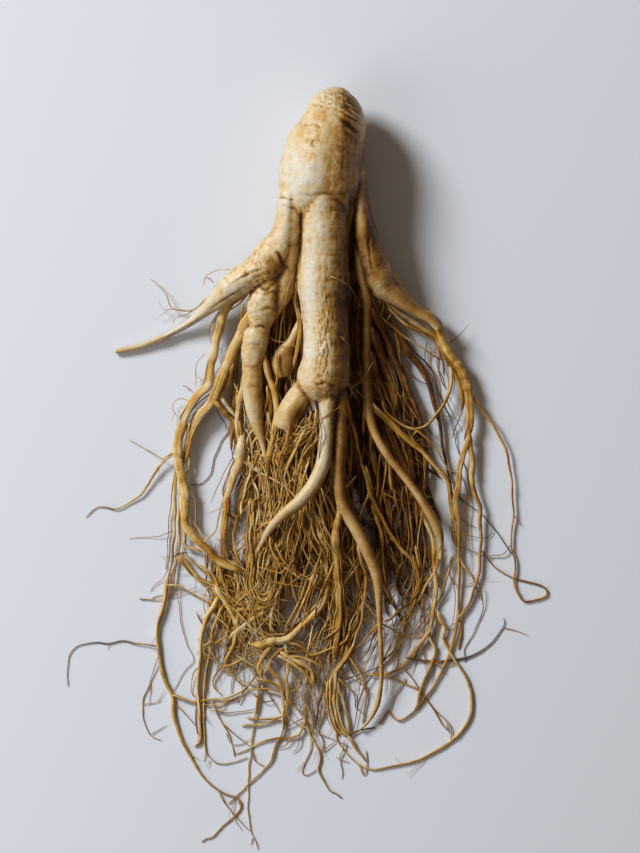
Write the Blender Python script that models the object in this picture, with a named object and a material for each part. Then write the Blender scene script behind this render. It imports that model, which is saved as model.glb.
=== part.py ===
"""A whole ginseng root with its legs, side roots and the long rootlets that give it its spread.

Millimetres throughout, turned into metres at the very end. +Y runs towards the crown, +Z is up and
the root lies on the plane z = 0. Each root is swept along a smooth curve through points chosen by
hand; its width at a point is a share of that root's own named width.
"""

import bmesh
import bpy
from math import cos, pi, sin
from mathutils import Vector

# Driving dimensions, in millimetres.
OVERALL_LENGTH = 306.0    # crown to the last rootlet tip, along Y
OVERALL_SPREAD = 193.0    # from the far left hair to the far right one, along X
HEAD_WIDTH = 34.0         # across the head at its ring
HEAD_DEPTH = 33.0         # through the head, from the floor up
LEFT_LEG_WIDTH = 17.0     # left leg where it leaves the body
CENTRE_LEG_WIDTH = 20.5   # centre leg below the body
RIGHT_LEG_WIDTH = 14.0    # right leg where it leaves the body
SIDE_ROOT_WIDTH = 7.0     # thick side roots where they leave a leg
ROOTLET_WIDTH = 3.2       # long rootlets at their forks
HAIR_WIDTH = 1.5          # the finest rootlets built here

# The reach of the hand-chosen points below. The two overall sizes stretch them from it.
LAID_OUT_LENGTH = 306.0
LAID_OUT_SPREAD = 193.0

# Facets round each root, and the distance between its rings.
BODY_SIDES = 18
LEG_SIDES = 12
SIDE_ROOT_SIDES = 8
ROOTLET_SIDES = 6
LEG_STEP = 6.0
ROOTLET_STEP = 8.0
FINISH = (0.72, 0.56, 0.33, 1.0)
FINISH_ROUGHNESS = 0.62
METRES = 0.001

# Head and body as one loft: (centre x, y, half width, centre height, half depth), the half width as
# a share of the head's width, the height and half depth as shares of its depth.
BODY = [
    (11.0, 153.0, 0.06, 0.47, 0.06),
    (10.8, 152.2, 0.14, 0.47, 0.14),
    (10.3, 150.2, 0.21, 0.475, 0.22),
    (10.2, 146.0, 0.30, 0.48, 0.31),
    (9.9, 140.0, 0.385, 0.485, 0.40),
    (7.6, 134.0, 0.46, 0.495, 0.46),
    (5.9, 127.0, 0.485, 0.5, 0.485),
    (5.0, 119.0, 0.485, 0.5, 0.49),
    (5.1, 111.5, 0.495, 0.5, 0.49),
    (5.9, 104.0, 0.53, 0.495, 0.485),
    (6.3, 97.0, 0.575, 0.48, 0.475),
    (6.2, 91.0, 0.61, 0.465, 0.43),
    (5.8, 85.0, 0.60, 0.44, 0.36),
    (5.2, 79.5, 0.50, 0.41, 0.27),
    (4.8, 75.5, 0.34, 0.39, 0.17),
]

# The legs that the body divides into, (x, y, z, share of width).
LEFT_LEG = [
    (-2, 103, 16, 1.0), (-6, 94, 15.5, 1.0), (-12, 85.5, 14.5, 0.92), (-19, 79.5, 13.5, 0.72),
    (-26, 76, 12.5, 0.55),
]
CENTRE_LEG = [
    (5.5, 100, 16.5, 0.9), (6.2, 88, 17, 1.0), (6.0, 74, 16.5, 0.98), (6.4, 62, 16, 0.9),
    (7.0, 50, 15.5, 0.88), (6.6, 40, 15, 0.98), (5.5, 32, 14.5, 0.9), (5.5, 26, 14, 0.6),
]
RIGHT_LEG = [
    (15, 101, 14.5, 1.0), (20.5, 91, 13.5, 0.95), (24.5, 82, 12.5, 0.93), (27.5, 76, 12, 0.8),
    (29.5, 71.5, 11.5, 0.45),
]

# Thick side roots, (x, y, z, share of width).
SIDE_ROOTS = [
    # left arm with its long drawn-out end
    [(-24, 77.5, 13.5, 1.3), (-32, 72, 12, 1.2), (-36, 67.5, 10.5, 1.0), (-39, 64.5, 9.5, 0.8),
     (-42, 62, 8.5, 0.64), (-50, 57, 7, 0.45), (-58, 53, 6, 0.42), (-66, 49.7, 5.2, 0.4),
     (-78, 47.2, 4.5, 0.38)],
    # lumpy leg behind the left one and the root that hangs from it
    [(-11, 86, 12.5, 1.6), (-15.5, 73, 11.5, 1.5), (-18.5, 60, 10.5, 1.25), (-21, 54, 10.5, 1.0),
     (-22, 44, 10.5, 1.0), (-21.5, 34, 10.5, 1.0), (-20, 24, 10, 0.85), (-18, 14, 9.5, 0.45),
     (-16.5, 7, 9, 0.3)],
    # blunt side root at the foot of the centre leg, on the left
    [(2, 35, 13.5, 1.1), (-4, 30, 13, 1.1), (-7.5, 24.5, 12, 1.15), (-9, 19, 11, 1.0),
     (-9.5, 16.5, 10.5, 0.7)],
    # tuber behind it
    [(0.5, 65, 12, 0.7), (-5, 55, 9.5, 0.9), (-9.5, 46, 8, 1.2), (-11, 38.5, 7.5, 0.8)],
    # pale root that goes on below the centre leg and turns left over the rest
    [(6.5, 33, 15, 1.2), (7.5, 24, 14.5, 0.95), (7.2, 14, 14.5, 0.9), (6.6, 5, 15, 0.85),
     (3.5, -4, 16, 0.8), (-0.5, -10, 16.5, 0.75), (-7, -15.5, 16.5, 0.62), (-13, -20, 15.5, 0.35),
     (-19, -22.5, 14, 0.25), (-25, -29, 12, 0.22), (-31, -37, 10, 0.2)],
    # darker root beside it that runs down the right side of the bundle
    [(11, 36, 13, 1.0), (12.3, 24, 12, 0.7), (12.2, 10, 11.5, 0.65), (12.2, -3, 11, 0.62),
     (13.5, -14, 11, 0.62), (18, -21.5, 10.5, 0.66), (22.5, -30, 10, 0.68), (26.5, -39, 9, 0.6),
     (28.2, -48, 8, 0.45), (28.6, -60, 7, 0.36), (29.2, -74, 5.5, 0.3), (29.3, -84, 4, 0.27),
     (27.5, -95, 2.5, 0.3), (22, -103.5, 1.8, 0.24), (17.5, -107, 1.5, 0.2)],
    # root that leaves the right leg and crosses to the right
    [(24.5, 76, 12, 1.0), (23.7, 62, 11.5, 0.55), (23.6, 46, 11, 0.52), (24.2, 28, 10.5, 0.52),
     (28, 12, 10.5, 0.52), (34, 3, 10, 0.52), (42, -7, 9.5, 0.5), (48.5, -17, 8, 0.55),
     (52.3, -25, 6.5, 0.5), (53, -33, 5, 0.3), (52, -44, 4, 0.22)],
]

# Long rootlets, (x, y, z, share of width).
ROOTLETS = [
    # right fork, outermost
    [(27, 80, 12, 1.9), (33, 75.5, 12, 1.6), (40, 67.5, 11.5, 1.3), (47, 61.5, 10.5, 1.2),
     (52.5, 56, 9.5, 1.1), (55.5, 48.5, 8.5, 1.0), (60, 39.5, 7.5, 1.1), (63.8, 31, 6.5, 1.0),
     (65.2, 21, 6, 0.9), (63, 8, 5.5, 0.9), (60.3, -3, 5.5, 0.8), (59.5, -14, 5.5, 0.7),
     (60.3, -30, 4.5, 0.5), (60.8, -45, 2.5, 0.4), (60.3, -58, 1.5, 0.35)],
    # second one across to the right
    [(24.6, 26, 10, 1.0), (32, 19, 9.5, 1.0), (41, 11.5, 9, 1.0), (49, 4.5, 8, 1.0),
     (54.5, -2.5, 7, 0.95), (57, -12, 6.2, 0.8), (58, -24, 5.4, 0.7), (60.2, -33, 4.4, 0.6)],
    # outer middle, down to the right-hand loop
    [(63.5, 11, 5.6, 0.8), (66, 2, 5.4, 0.8), (67, -9, 5, 0.9), (69, -18, 4.6, 0.9),
     (69, -33, 4, 0.9), (66.5, -47, 3.2, 0.8), (61, -59.5, 2.5, 0.7), (57.5, -71, 2.2, 0.6),
     (60, -78.5, 2, 0.7), (64.4, -86, 1.6, 0.8), (65, -96, 1.4, 0.75), (61.5, -104.5, 1.2, 0.65),
     (53, -111.5, 1.1, 0.55), (42, -116.7, 1, 0.45), (30, -119.8, 1, 0.4)],
    # pale one through the middle of the right side
    [(44, -9.5, 9.3, 0.9), (47.2, -20, 8, 0.7), (50.5, -31, 6, 0.6), (51.2, -46, 4, 0.55),
     (50, -60, 2.5, 0.5), (48, -65.5, 2, 0.45), (43.5, -75.5, 1.6, 0.5), (36, -82, 2, 0.45),
     (30, -82.5, 3.4, 0.45)],
    # centre of the bundle
    [(12.2, -6, 10.5, 1.1), (10.5, -18, 9, 1.1), (10.2, -32, 7.5, 1.1), (12.3, -46, 6.5, 1.1),
     (13, -58, 5, 1.1), (11.8, -70, 4, 0.8), (11, -82, 3, 0.9), (11.5, -94, 2.4, 1.3),
     (14.5, -102, 2.6, 1.5), (17.5, -107, 1.5, 0.7)],
    [(1.5, -9, 14.5, 1.1), (3.5, -20, 11.5, 1.0), (6, -31, 9, 1.1), (7.6, -44, 7, 1.2),
     (5.5, -53, 6, 1.35), (-1.5, -62, 5, 1.35), (-8, -67, 4, 1.2), (-16, -69.5, 3.5, 0.8),
     (-24, -67, 3.4, 0.7)],
    # left of the bundle
    [(-14, 32, 9.5, 0.8), (-13.5, 20, 9.5, 0.8), (-15, 6, 9, 0.75), (-15.2, -6, 8.5, 0.75),
     (-14.5, -19, 8, 0.8), (-16.5, -32, 7, 1.3), (-18, -44, 6, 1.8), (-22, -55, 5, 1.4),
     (-29, -64, 4, 1.1), (-33, -76, 3, 0.9)],
    [(-22, 50, 9, 0.9), (-26, 40, 9.2, 1.0), (-27.8, 25, 9, 0.95), (-27, 11, 8.6, 0.85),
     (-21, 1, 8.6, 0.75), (-18, -10, 8.4, 0.7), (-17.5, -22, 7.6, 0.7)],
    [(-26, 9, 7.4, 1.1), (-29, -2, 6, 1.3), (-32.5, -11, 4.5, 0.6), (-36, -22, 2.5, 0.4)],
    [(-9.5, 19, 9.5, 1.3), (-10.5, 8, 8.5, 0.9), (-9, -6, 7.5, 0.8), (-8.5, -20, 6.5, 0.8),
     (-9, -34, 5.5, 0.9), (-10.5, -48, 4.5, 0.6)],
    # outer left, the long one that bows out and comes back
    [(-27, 74, 10.5, 1.2), (-34, 62, 8.5, 1.1), (-38, 46, 7.5, 1.1), (-40.5, 33, 6.5, 1.0),
     (-46, 26, 6, 0.9), (-50.8, 17, 5.5, 0.8), (-52, 6, 5, 0.8), (-52.5, -8, 4.6, 0.75),
     (-53.6, -24, 4, 0.7), (-55.2, -40, 3.2, 0.7), (-58, -54, 2.2, 0.65), (-60.5, -66, 1.6, 0.6),
     (-59.2, -79, 1.2, 0.55), (-54.6, -90.5, 1, 0.5), (-53, -102, 1, 0.45),
     (-47.5, -114, 1, 0.42), (-39.5, -125.5, 0.8, 0.4), (-30, -130.7, 0.7, 0.4),
     (-27, -134, 0.7, 0.38), (-29.5, -138.5, 0.7, 0.36), (-38, -146.5, 0.7, 0.33),
     (-43, -149.2, 0.7, 0.25)],
    # second outer left, back into the bundle
    [(-22, 62, 9.5, 1.1), (-31, 47, 8.5, 1.0), (-36.5, 31, 7.5, 1.0), (-42, 21, 6.5, 1.0),
     (-48.5, 9, 6, 0.9), (-50, -6, 5.6, 0.8), (-49.2, -21, 5.5, 0.8), (-42.5, -31, 5.6, 0.85),
     (-33, -37.5, 5.8, 0.9), (-21, -41, 6, 0.7)],
    # far lower left
    [(-26, -58, 4.4, 0.8), (-36, -54, 3.6, 0.8), (-41, -64, 2.8, 0.75), (-43.5, -77, 2, 0.7),
     (-44, -92, 1.6, 0.8), (-43.2, -107, 1.2, 0.5)],
    # lower middle
    [(-8.5, -66.5, 4, 1.1), (-9, -80, 3, 1.0), (-8.6, -92, 2.2, 0.9), (-10.5, -104, 1.8, 0.8),
     (-14.5, -115.5, 1.8, 0.5), (-22.5, -124.5, 2.2, 0.42), (-29, -131.2, 2.2, 0.4),
     (-32, -134.4, 1.4, 0.35)],
    [(4, -54, 5.5, 0.9), (1.5, -66, 4.4, 0.7), (-0.4, -78, 3.2, 0.8), (-1, -92, 2.2, 0.8),
     (1, -106, 1.4, 0.6), (5, -114, 1, 0.5), (4.6, -121, 1, 0.4), (9.5, -129.2, 1, 0.35),
     (13.6, -131.5, 1, 0.32)],
]

# The finest rootlets that reach furthest out, (x, y, z, share of width).
HAIRS = [
    [(63.5, 31.5, 6.2, 1.1), (70, 24, 3.6, 0.95), (77.5, 12, 1.6, 0.85), (81.2, 0, 0.9, 0.8),
     (82.2, -15, 0.8, 0.75), (81.4, -29, 0.9, 0.7), (83.2, -39, 0.8, 0.6), (84.2, -49, 0.6, 0.5)],
    [(69, -33.5, 3.8, 0.9), (75, -39, 2, 0.8), (83, -43.4, 1, 0.7), (91.5, -45.7, 0.8, 0.65),
     (96.1, -49.3, 0.7, 0.6)],
    [(43, -75.7, 1.8, 0.9), (54, -76.4, 1.4, 0.9), (65, -74.5, 1.1, 0.8), (73.5, -68.5, 0.9, 0.7),
     (78.8, -61, 0.7, 0.6)],
    [(-51.8, 9, 4.8, 0.8), (-57, 4.5, 3, 0.8), (-64, -5, 1.6, 0.8), (-68.5, -11, 1.1, 0.75),
     (-77, -15.5, 0.9, 0.65), (-84, -15, 0.8, 0.6), (-89, -18.5, 0.7, 0.5)],
    [(-60.3, -70.2, 1.2, 0.7), (-68, -69.4, 0.9, 0.7), (-75, -68.5, 0.8, 0.6),
     (-86, -69.4, 0.7, 0.5), (-93.5, -71.5, 0.6, 0.45), (-96.3, -77, 0.6, 0.45),
     (-96.2, -86.5, 0.6, 0.4)],
    [(-10, -101, 1.8, 0.9), (-20.5, -100.5, 1.2, 0.7), (-23, -112, 0.6, 0.6),
     (-24, -127, 0.5, 0.55), (-23.6, -141, 0.5, 0.5), (-20.2, -152.8, 0.5, 0.45)],
]


def laid_out(x, y, z):
    """A hand-chosen point, stretched to the two overall sizes."""
    return Vector((x * OVERALL_SPREAD / LAID_OUT_SPREAD, y * OVERALL_LENGTH / LAID_OUT_LENGTH, z))


def curve_through(stations, step):
    """Stations about a step apart on a smooth curve (Catmull-Rom) through the given ones, each a
    vector of x, y, z and radius."""
    first = 2 * stations[0] - stations[1]
    last = 2 * stations[-1] - stations[-2]
    row = [first] + stations + [last]
    smooth = []
    for before, start, end, after in zip(row, row[1:], row[2:], row[3:]):
        pieces = max(1, round((end.xyz - start.xyz).length / step))
        for piece in range(pieces):
            t = piece / pieces
            smooth.append(0.5 * (2 * start + (end - before) * t
                                 + (2 * before - 5 * start + 4 * end - after) * t ** 2
                                 + (3 * start - before - 3 * end + after) * t ** 3))
    return smooth + [stations[-1]]


def ring(mesh, centre, direction, half_width, half_height, sides):
    """A loop of vertices square to the direction, its width level and its height upright."""
    across = direction.cross(Vector((0, 0, 1))).normalized()
    upright = across.cross(direction).normalized()
    angles = [2 * pi * (corner + 0.5) / sides for corner in range(sides)]
    return [mesh.verts.new(centre + across * half_width * cos(angle)
                           + upright * half_height * sin(angle)) for angle in angles]


def skin_over(mesh, rings):
    """Walls between neighbouring rings and a face on each end, facing outwards."""
    for upper, lower in zip(rings, rings[1:]):
        for corner in range(len(lower)):
            following = (corner + 1) % len(lower)
            mesh.faces.new((upper[corner], upper[following], lower[following], lower[corner]))
    mesh.faces.new(reversed(rings[0]))
    mesh.faces.new(rings[-1])


def body_object():
    """The head and the body below it, a loft that runs down from the crown."""
    mesh = bmesh.new()
    down = Vector((0, -1, 0))
    rings = [ring(mesh, laid_out(x, y, height * HEAD_DEPTH), down, half_width * HEAD_WIDTH,
                  half_depth * HEAD_DEPTH, BODY_SIDES)
             for x, y, half_width, height, half_depth in BODY]
    skin_over(mesh, rings)
    return object_from(mesh, "ginseng_root")


def root_object(name, route, width, sides, step):
    """One tapering root of round section with blunt ends."""
    stations = [Vector((*laid_out(x, y, z), share * width / 2)) for x, y, z, share in route]
    path = curve_through(stations, step)
    mesh = bmesh.new()
    rings = []
    for index, station in enumerate(path):
        before = path[max(index - 1, 0)]
        after = path[min(index + 1, len(path) - 1)]
        direction = (after.xyz - before.xyz).normalized()
        rings.append(ring(mesh, station.xyz, direction, station.w, station.w, sides))
    skin_over(mesh, rings)
    return object_from(mesh, name)


def object_from(mesh, name):
    """Turn a finished mesh into an object of the scene, in metres."""
    bmesh.ops.scale(mesh, vec=(METRES, METRES, METRES), verts=mesh.verts)
    bmesh.ops.recalc_face_normals(mesh, faces=mesh.faces)
    data = bpy.data.meshes.new(name)
    mesh.to_mesh(data)
    mesh.free()
    obj = bpy.data.objects.new(name, data)
    bpy.context.scene.collection.objects.link(obj)
    return obj


def grow_onto(body, root):
    """Join a root to the body with a Boolean union, and keep the root itself out of sight."""
    root.hide_render = True
    root.display_type = "WIRE"
    union = body.modifiers.new(root.name, "BOOLEAN")
    union.operation = "UNION"
    union.solver = "EXACT"
    union.object = root


def lay_on_origin(body):
    """Move the grown root so that it lies on z = 0 with the middle of its box over the origin."""
    bpy.context.view_layer.update()
    grown = body.evaluated_get(bpy.context.evaluated_depsgraph_get())
    corners = [Vector(corner) for corner in grown.bound_box]
    low = Vector([min(corner[axis] for corner in corners) for axis in range(3)])
    high = Vector([max(corner[axis] for corner in corners) for axis in range(3)])
    shift = Vector((-(low.x + high.x) / 2, -(low.y + high.y) / 2, -low.z))
    for obj in bpy.data.objects:
        obj.location = shift


def skin_material():
    """Dry, matt root skin."""
    material = bpy.data.materials.new("root_skin")
    material.use_nodes = True
    shader = material.node_tree.nodes["Principled BSDF"]
    shader.inputs["Base Color"].default_value = FINISH
    shader.inputs["Roughness"].default_value = FINISH_ROUGHNESS
    return material


for left_over in list(bpy.data.objects):
    bpy.data.objects.remove(left_over)

ginseng = body_object()
ginseng.data.materials.append(skin_material())
for name, route, width in (("left_leg", LEFT_LEG, LEFT_LEG_WIDTH),
                           ("centre_leg", CENTRE_LEG, CENTRE_LEG_WIDTH),
                           ("right_leg", RIGHT_LEG, RIGHT_LEG_WIDTH)):
    grow_onto(ginseng, root_object(name, route, width, LEG_SIDES, LEG_STEP))
for name, routes, width in (("side_root", SIDE_ROOTS, SIDE_ROOT_WIDTH),
                            ("rootlet", ROOTLETS, ROOTLET_WIDTH),
                            ("hair", HAIRS, HAIR_WIDTH)):
    for number, route in enumerate(routes):
        sides = SIDE_ROOT_SIDES if name == "side_root" else ROOTLET_SIDES
        grow_onto(ginseng, root_object(f"{name}_{number}", route, width, sides, ROOTLET_STEP))
lay_on_origin(ginseng)
ginseng.data.shade_smooth()
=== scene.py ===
"""The looks of a whole ginseng root: its skin, wrinkles and scars, and every rootlet of its fan.

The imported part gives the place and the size; all lengths below are millimetres in its frame, with
+Y towards the crown and the root lying on z = 0.
"""

from math import cos, pi, radians, sin

import bpy
import numpy as np
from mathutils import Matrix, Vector, kdtree, noise


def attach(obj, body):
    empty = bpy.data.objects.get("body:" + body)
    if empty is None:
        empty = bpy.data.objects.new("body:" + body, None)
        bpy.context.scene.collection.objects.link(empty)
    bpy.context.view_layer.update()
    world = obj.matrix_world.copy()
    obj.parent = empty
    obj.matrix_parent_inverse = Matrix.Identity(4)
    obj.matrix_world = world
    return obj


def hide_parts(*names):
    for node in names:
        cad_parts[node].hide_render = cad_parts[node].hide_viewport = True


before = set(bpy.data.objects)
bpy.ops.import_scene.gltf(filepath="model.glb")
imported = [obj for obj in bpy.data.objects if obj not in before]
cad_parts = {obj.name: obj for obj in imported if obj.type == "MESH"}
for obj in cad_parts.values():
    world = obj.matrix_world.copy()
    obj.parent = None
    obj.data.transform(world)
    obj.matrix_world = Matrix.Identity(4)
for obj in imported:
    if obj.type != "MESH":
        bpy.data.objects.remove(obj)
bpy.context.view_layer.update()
MM = 0.001
bpy.ops.object.select_all(action="DESELECT")


# ---------------------------------------------------------------- floor, light and camera
# A plain pale sheet, one soft lamp up on the left, a weak warm fill from all round, and a long lens
# that looks straight down.

FLOOR_SIZE = 30.0                # metres
FLOOR_GAP = 0.2 * MM             # keeps the sheet just below the rootlets
FLOOR_COLOUR = (0.69, 0.75, 0.84, 1)
FLOOR_ROUGHNESS = 0.85
FLOOR_GLOSS = 0.2
VIEW_CENTRE = Vector((4.8, 17.6, 10.0)) * MM
VIEW_HEIGHT = 341.2 * MM         # height of what the lens takes in
CAMERA_DISTANCE = 4.0
CAMERA_REACH = 40.0
FILM_HEIGHT = 36.0
LAMP_TOWARDS = radians(140)      # where the lamp stands, counted from +X
LAMP_ELEVATION = radians(33)
LAMP_DISTANCE = 2.2
LAMP_SIZE = 0.71
LAMP_WATTS = 53.8
SIDE_GLOW_TOWARDS = (-0.80, -0.30, 0.52)
SIDE_GLOW_DISTANCE = 1.0
SIDE_GLOW_SIZE = 0.7
SIDE_GLOW_WATTS = 2.9
FILL = (0.150, 0.112, 0.080)


def soft_lamp(direction, distance, size, watts):
    """A soft lamp that shines at the middle of the view."""
    bpy.ops.object.light_add(type="AREA")
    lamp = bpy.context.object
    lamp.location = VIEW_CENTRE + direction * distance
    lamp.rotation_euler = direction.to_track_quat("Z", "Y").to_euler()
    lamp.data.size = size
    lamp.data.energy = watts
    return lamp


bpy.ops.mesh.primitive_plane_add(size=FLOOR_SIZE, location=(0, 0, -FLOOR_GAP))
floor = bpy.context.object
floor.name = "floor"
paper = bpy.data.materials.new("pale_paper")
paper.use_nodes = True
paper_shader = paper.node_tree.nodes["Principled BSDF"]
paper_shader.inputs["Base Color"].default_value = FLOOR_COLOUR
paper_shader.inputs["Roughness"].default_value = FLOOR_ROUGHNESS
paper_shader.inputs["Specular IOR Level"].default_value = FLOOR_GLOSS
floor.data.materials.append(paper)

lamp_direction = Vector((cos(LAMP_TOWARDS) * cos(LAMP_ELEVATION),
                         sin(LAMP_TOWARDS) * cos(LAMP_ELEVATION), sin(LAMP_ELEVATION)))
soft_lamp(lamp_direction, LAMP_DISTANCE, LAMP_SIZE, LAMP_WATTS).data.shape = "DISK"
soft_lamp(Vector(SIDE_GLOW_TOWARDS).normalized(), SIDE_GLOW_DISTANCE, SIDE_GLOW_SIZE, SIDE_GLOW_WATTS)

world = bpy.data.worlds.new("fill")
world.use_nodes = True
world.node_tree.nodes["Background"].inputs["Color"].default_value = (*FILL, 1)
bpy.context.scene.world = world
bpy.context.scene.view_settings.view_transform = "Standard"

bpy.ops.object.camera_add(location=VIEW_CENTRE + Vector((0, 0, CAMERA_DISTANCE)), rotation=(0, 0, 0))
camera = bpy.context.object
camera.data.sensor_width = FILM_HEIGHT
camera.data.lens = FILM_HEIGHT * CAMERA_DISTANCE / VIEW_HEIGHT
camera.data.clip_end = CAMERA_REACH
bpy.context.scene.camera = camera


# ---------------------------------------------------------------- head, body, legs and thick side roots
# One stout root that divides into three legs. It grew as one piece, so its limbs are lofted one by
# one, melted together into one skin, and then lined with creases and wrinkles.

# Each limb is a row of stations: centre x, y, z, half width, half depth.
HEAD_AND_BODY = [
    (10.8, 153.3, 16.0, 1.6, 1.6), (10.6, 152.8, 16.0, 3.6, 3.6), (10.5, 151.7, 16.0, 5.6, 5.4),
    (10.4, 150.0, 16.0, 7.5, 7.2), (10.5, 148.0, 16.1, 9.1, 8.8), (10.5, 145.0, 16.2, 10.9, 10.7),
    (10.0, 141.0, 16.3, 12.8, 12.8), (8.5, 137.0, 16.4, 14.7, 14.4), (7.4, 134.0, 16.4, 15.6, 15.2),
    (6.6, 130.0, 16.5, 16.2, 15.8), (5.7, 126.0, 16.5, 16.3, 16.1), (5.1, 121.0, 16.5, 16.5, 16.2),
    (5.0, 116.0, 16.4, 16.8, 16.0), (4.8, 112.5, 16.2, 16.5, 15.6), (4.7, 109.5, 16.0, 16.3, 15.0),
    (4.6, 106.0, 15.6, 16.0, 13.8), (4.6, 102.0, 15.0, 15.9, 11.8), (4.8, 96.0, 13.8, 16.3, 8.2),
    (5.0, 90.0, 12.4, 17.3, 5.0), (5.0, 84.0, 11.6, 16.5, 3.8), (5.0, 79.0, 11.0, 12.0, 2.4),
]
LEFT_LEG = [
    (-6.4, 112.0, 17.0, 4.6, 9.6), (-7.9, 106.0, 17.4, 4.5, 9.3), (-8.4, 99.0, 17.2, 4.9, 9.2),
    (-9.6, 92.5, 16.6, 6.4, 8.9), (-11.6, 88.0, 15.8, 8.0, 8.5), (-14.4, 84.0, 15.0, 8.4, 7.9),
    (-19.4, 80.3, 14.2, 6.8, 6.9), (-25.0, 77.2, 13.3, 6.0, 5.9), (-30.5, 73.2, 12.3, 5.4, 5.2),
    (-34.6, 69.6, 10.6, 4.5, 4.5), (-38.2, 66.6, 8.8, 3.3, 3.3), (-42.0, 63.2, 6.8, 2.3, 2.4),
    (-46.0, 60.2, 4.8, 1.8, 1.9), (-50.2, 57.4, 3.4, 1.6, 1.6), (-54.0, 55.4, 2.6, 1.4, 1.4),
    (-58.0, 53.3, 2.2, 1.5, 1.5), (-63.0, 51.4, 1.8, 1.25, 1.3), (-68.0, 49.6, 1.6, 1.2, 1.2),
    (-74.0, 48.3, 1.4, 1.15, 1.15), (-77.6, 47.5, 1.2, 0.95, 0.95),
]
CENTRE_LEG = [
    (5.0, 120.0, 16.4, 8.0, 13.5), (5.6, 113.0, 17.0, 9.6, 14.2), (6.1, 106.0, 17.3, 10.2, 13.6),
    (6.3, 98.0, 17.4, 10.2, 12.7), (6.3, 88.0, 17.4, 10.1, 11.8), (6.1, 80.0, 17.3, 10.3, 11.1),
    (5.9, 74.0, 17.2, 10.2, 10.8), (6.2, 68.0, 17.1, 9.6, 10.4), (6.8, 60.0, 17.0, 9.0, 10.0),
    (7.1, 52.0, 16.9, 9.1, 9.8), (7.1, 45.0, 16.8, 9.6, 9.6), (6.6, 40.0, 16.6, 10.3, 9.4),
    (6.1, 36.5, 16.3, 10.6, 8.9), (6.0, 33.4, 16.0, 9.8, 8.0), (6.2, 30.8, 15.8, 8.0, 6.4),
    (6.4, 28.6, 15.6, 5.4, 4.4),
]
RIGHT_LEG = [
    (18.8, 131.0, 13.4, 2.4, 5.0), (19.8, 122.0, 13.8, 2.9, 6.8), (20.5, 113.0, 14.2, 3.3, 8.0),
    (21.3, 104.5, 14.2, 3.8, 8.4), (22.4, 97.0, 13.9, 4.6, 8.2), (23.7, 91.0, 13.5, 5.5, 7.8),
    (25.1, 85.0, 13.1, 6.4, 7.4), (26.6, 79.5, 12.6, 7.0, 6.9), (28.6, 75.4, 12.2, 6.2, 6.0),
    (31.2, 72.4, 12.0, 4.9, 4.9), (34.4, 70.0, 11.9, 3.8, 3.8), (38.6, 67.0, 11.7, 2.9, 2.9),
    (44.0, 63.6, 11.3, 2.4, 2.3), (49.0, 60.4, 10.8, 2.0, 2.0), (52.6, 56.4, 10.2, 1.6, 1.6),
]
LUMPY_LEG = [
    (-11.5, 86.0, 12.8, 6.6, 6.4), (-13.2, 79.0, 12.6, 6.3, 6.2), (-15.7, 72.0, 12.4, 6.2, 6.0),
    (-17.9, 66.0, 12.0, 6.5, 6.1), (-19.0, 61.0, 11.8, 5.9, 5.4), (-19.4, 57.0, 11.6, 4.3, 4.3),
    (-20.7, 53.4, 11.6, 5.1, 4.9), (-21.9, 47.0, 11.4, 4.8, 4.6), (-22.2, 40.5, 11.0, 4.0, 4.0),
    (-22.2, 34.0, 11.0, 4.1, 4.0), (-21.8, 27.5, 10.8, 3.8, 3.7), (-21.0, 21.5, 10.5, 3.1, 3.1),
    (-19.6, 16.0, 10.2, 2.3, 2.3), (-18.0, 10.5, 9.8, 1.4, 1.4), (-17.0, 4.5, 9.2, 0.9, 0.9),
]
BLUNT_ROOT = [
    (3.0, 37.0, 14.0, 4.6, 4.6), (-0.8, 32.6, 14.4, 4.9, 4.9), (-4.2, 28.0, 14.0, 5.1, 5.0),
    (-6.8, 23.4, 13.2, 5.4, 5.2), (-8.4, 19.4, 12.4, 5.2, 4.8), (-9.2, 16.8, 11.8, 4.0, 3.6),
]
TUBER = [
    (0.5, 66.0, 12.0, 1.4, 1.4), (-4.0, 57.5, 10.5, 1.6, 1.5), (-7.0, 51.5, 9.6, 1.6, 1.6),
    (-9.0, 48.0, 9.2, 3.2, 2.6), (-10.0, 44.0, 9.0, 4.5, 3.4), (-10.2, 40.5, 9.0, 4.4, 3.3),
    (-9.6, 37.4, 9.0, 2.8, 2.2),
]
PALE_ROOT = [
    (7.0, 37.0, 16.5, 4.8, 4.8), (7.6, 31.0, 16.8, 4.3, 4.3), (7.9, 25.5, 17.0, 3.6, 3.6),
    (7.6, 19.0, 17.0, 3.1, 3.1), (7.1, 11.0, 17.0, 3.0, 3.0), (6.2, 3.5, 17.2, 3.0, 3.0),
    (3.9, -2.5, 17.4, 2.9, 2.9), (0.6, -8.0, 17.6, 2.9, 2.8), (-3.6, -12.4, 17.4, 2.5, 2.5),
    (-7.6, -15.6, 16.8, 2.2, 2.1), (-12.0, -19.6, 15.4, 1.9, 1.8), (-15.6, -24.0, 11.6, 1.6, 1.6),
    (-18.4, -29.0, 7.6, 1.2, 1.2), (-21.0, -34.0, 5.0, 0.9, 0.9),
]
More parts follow.
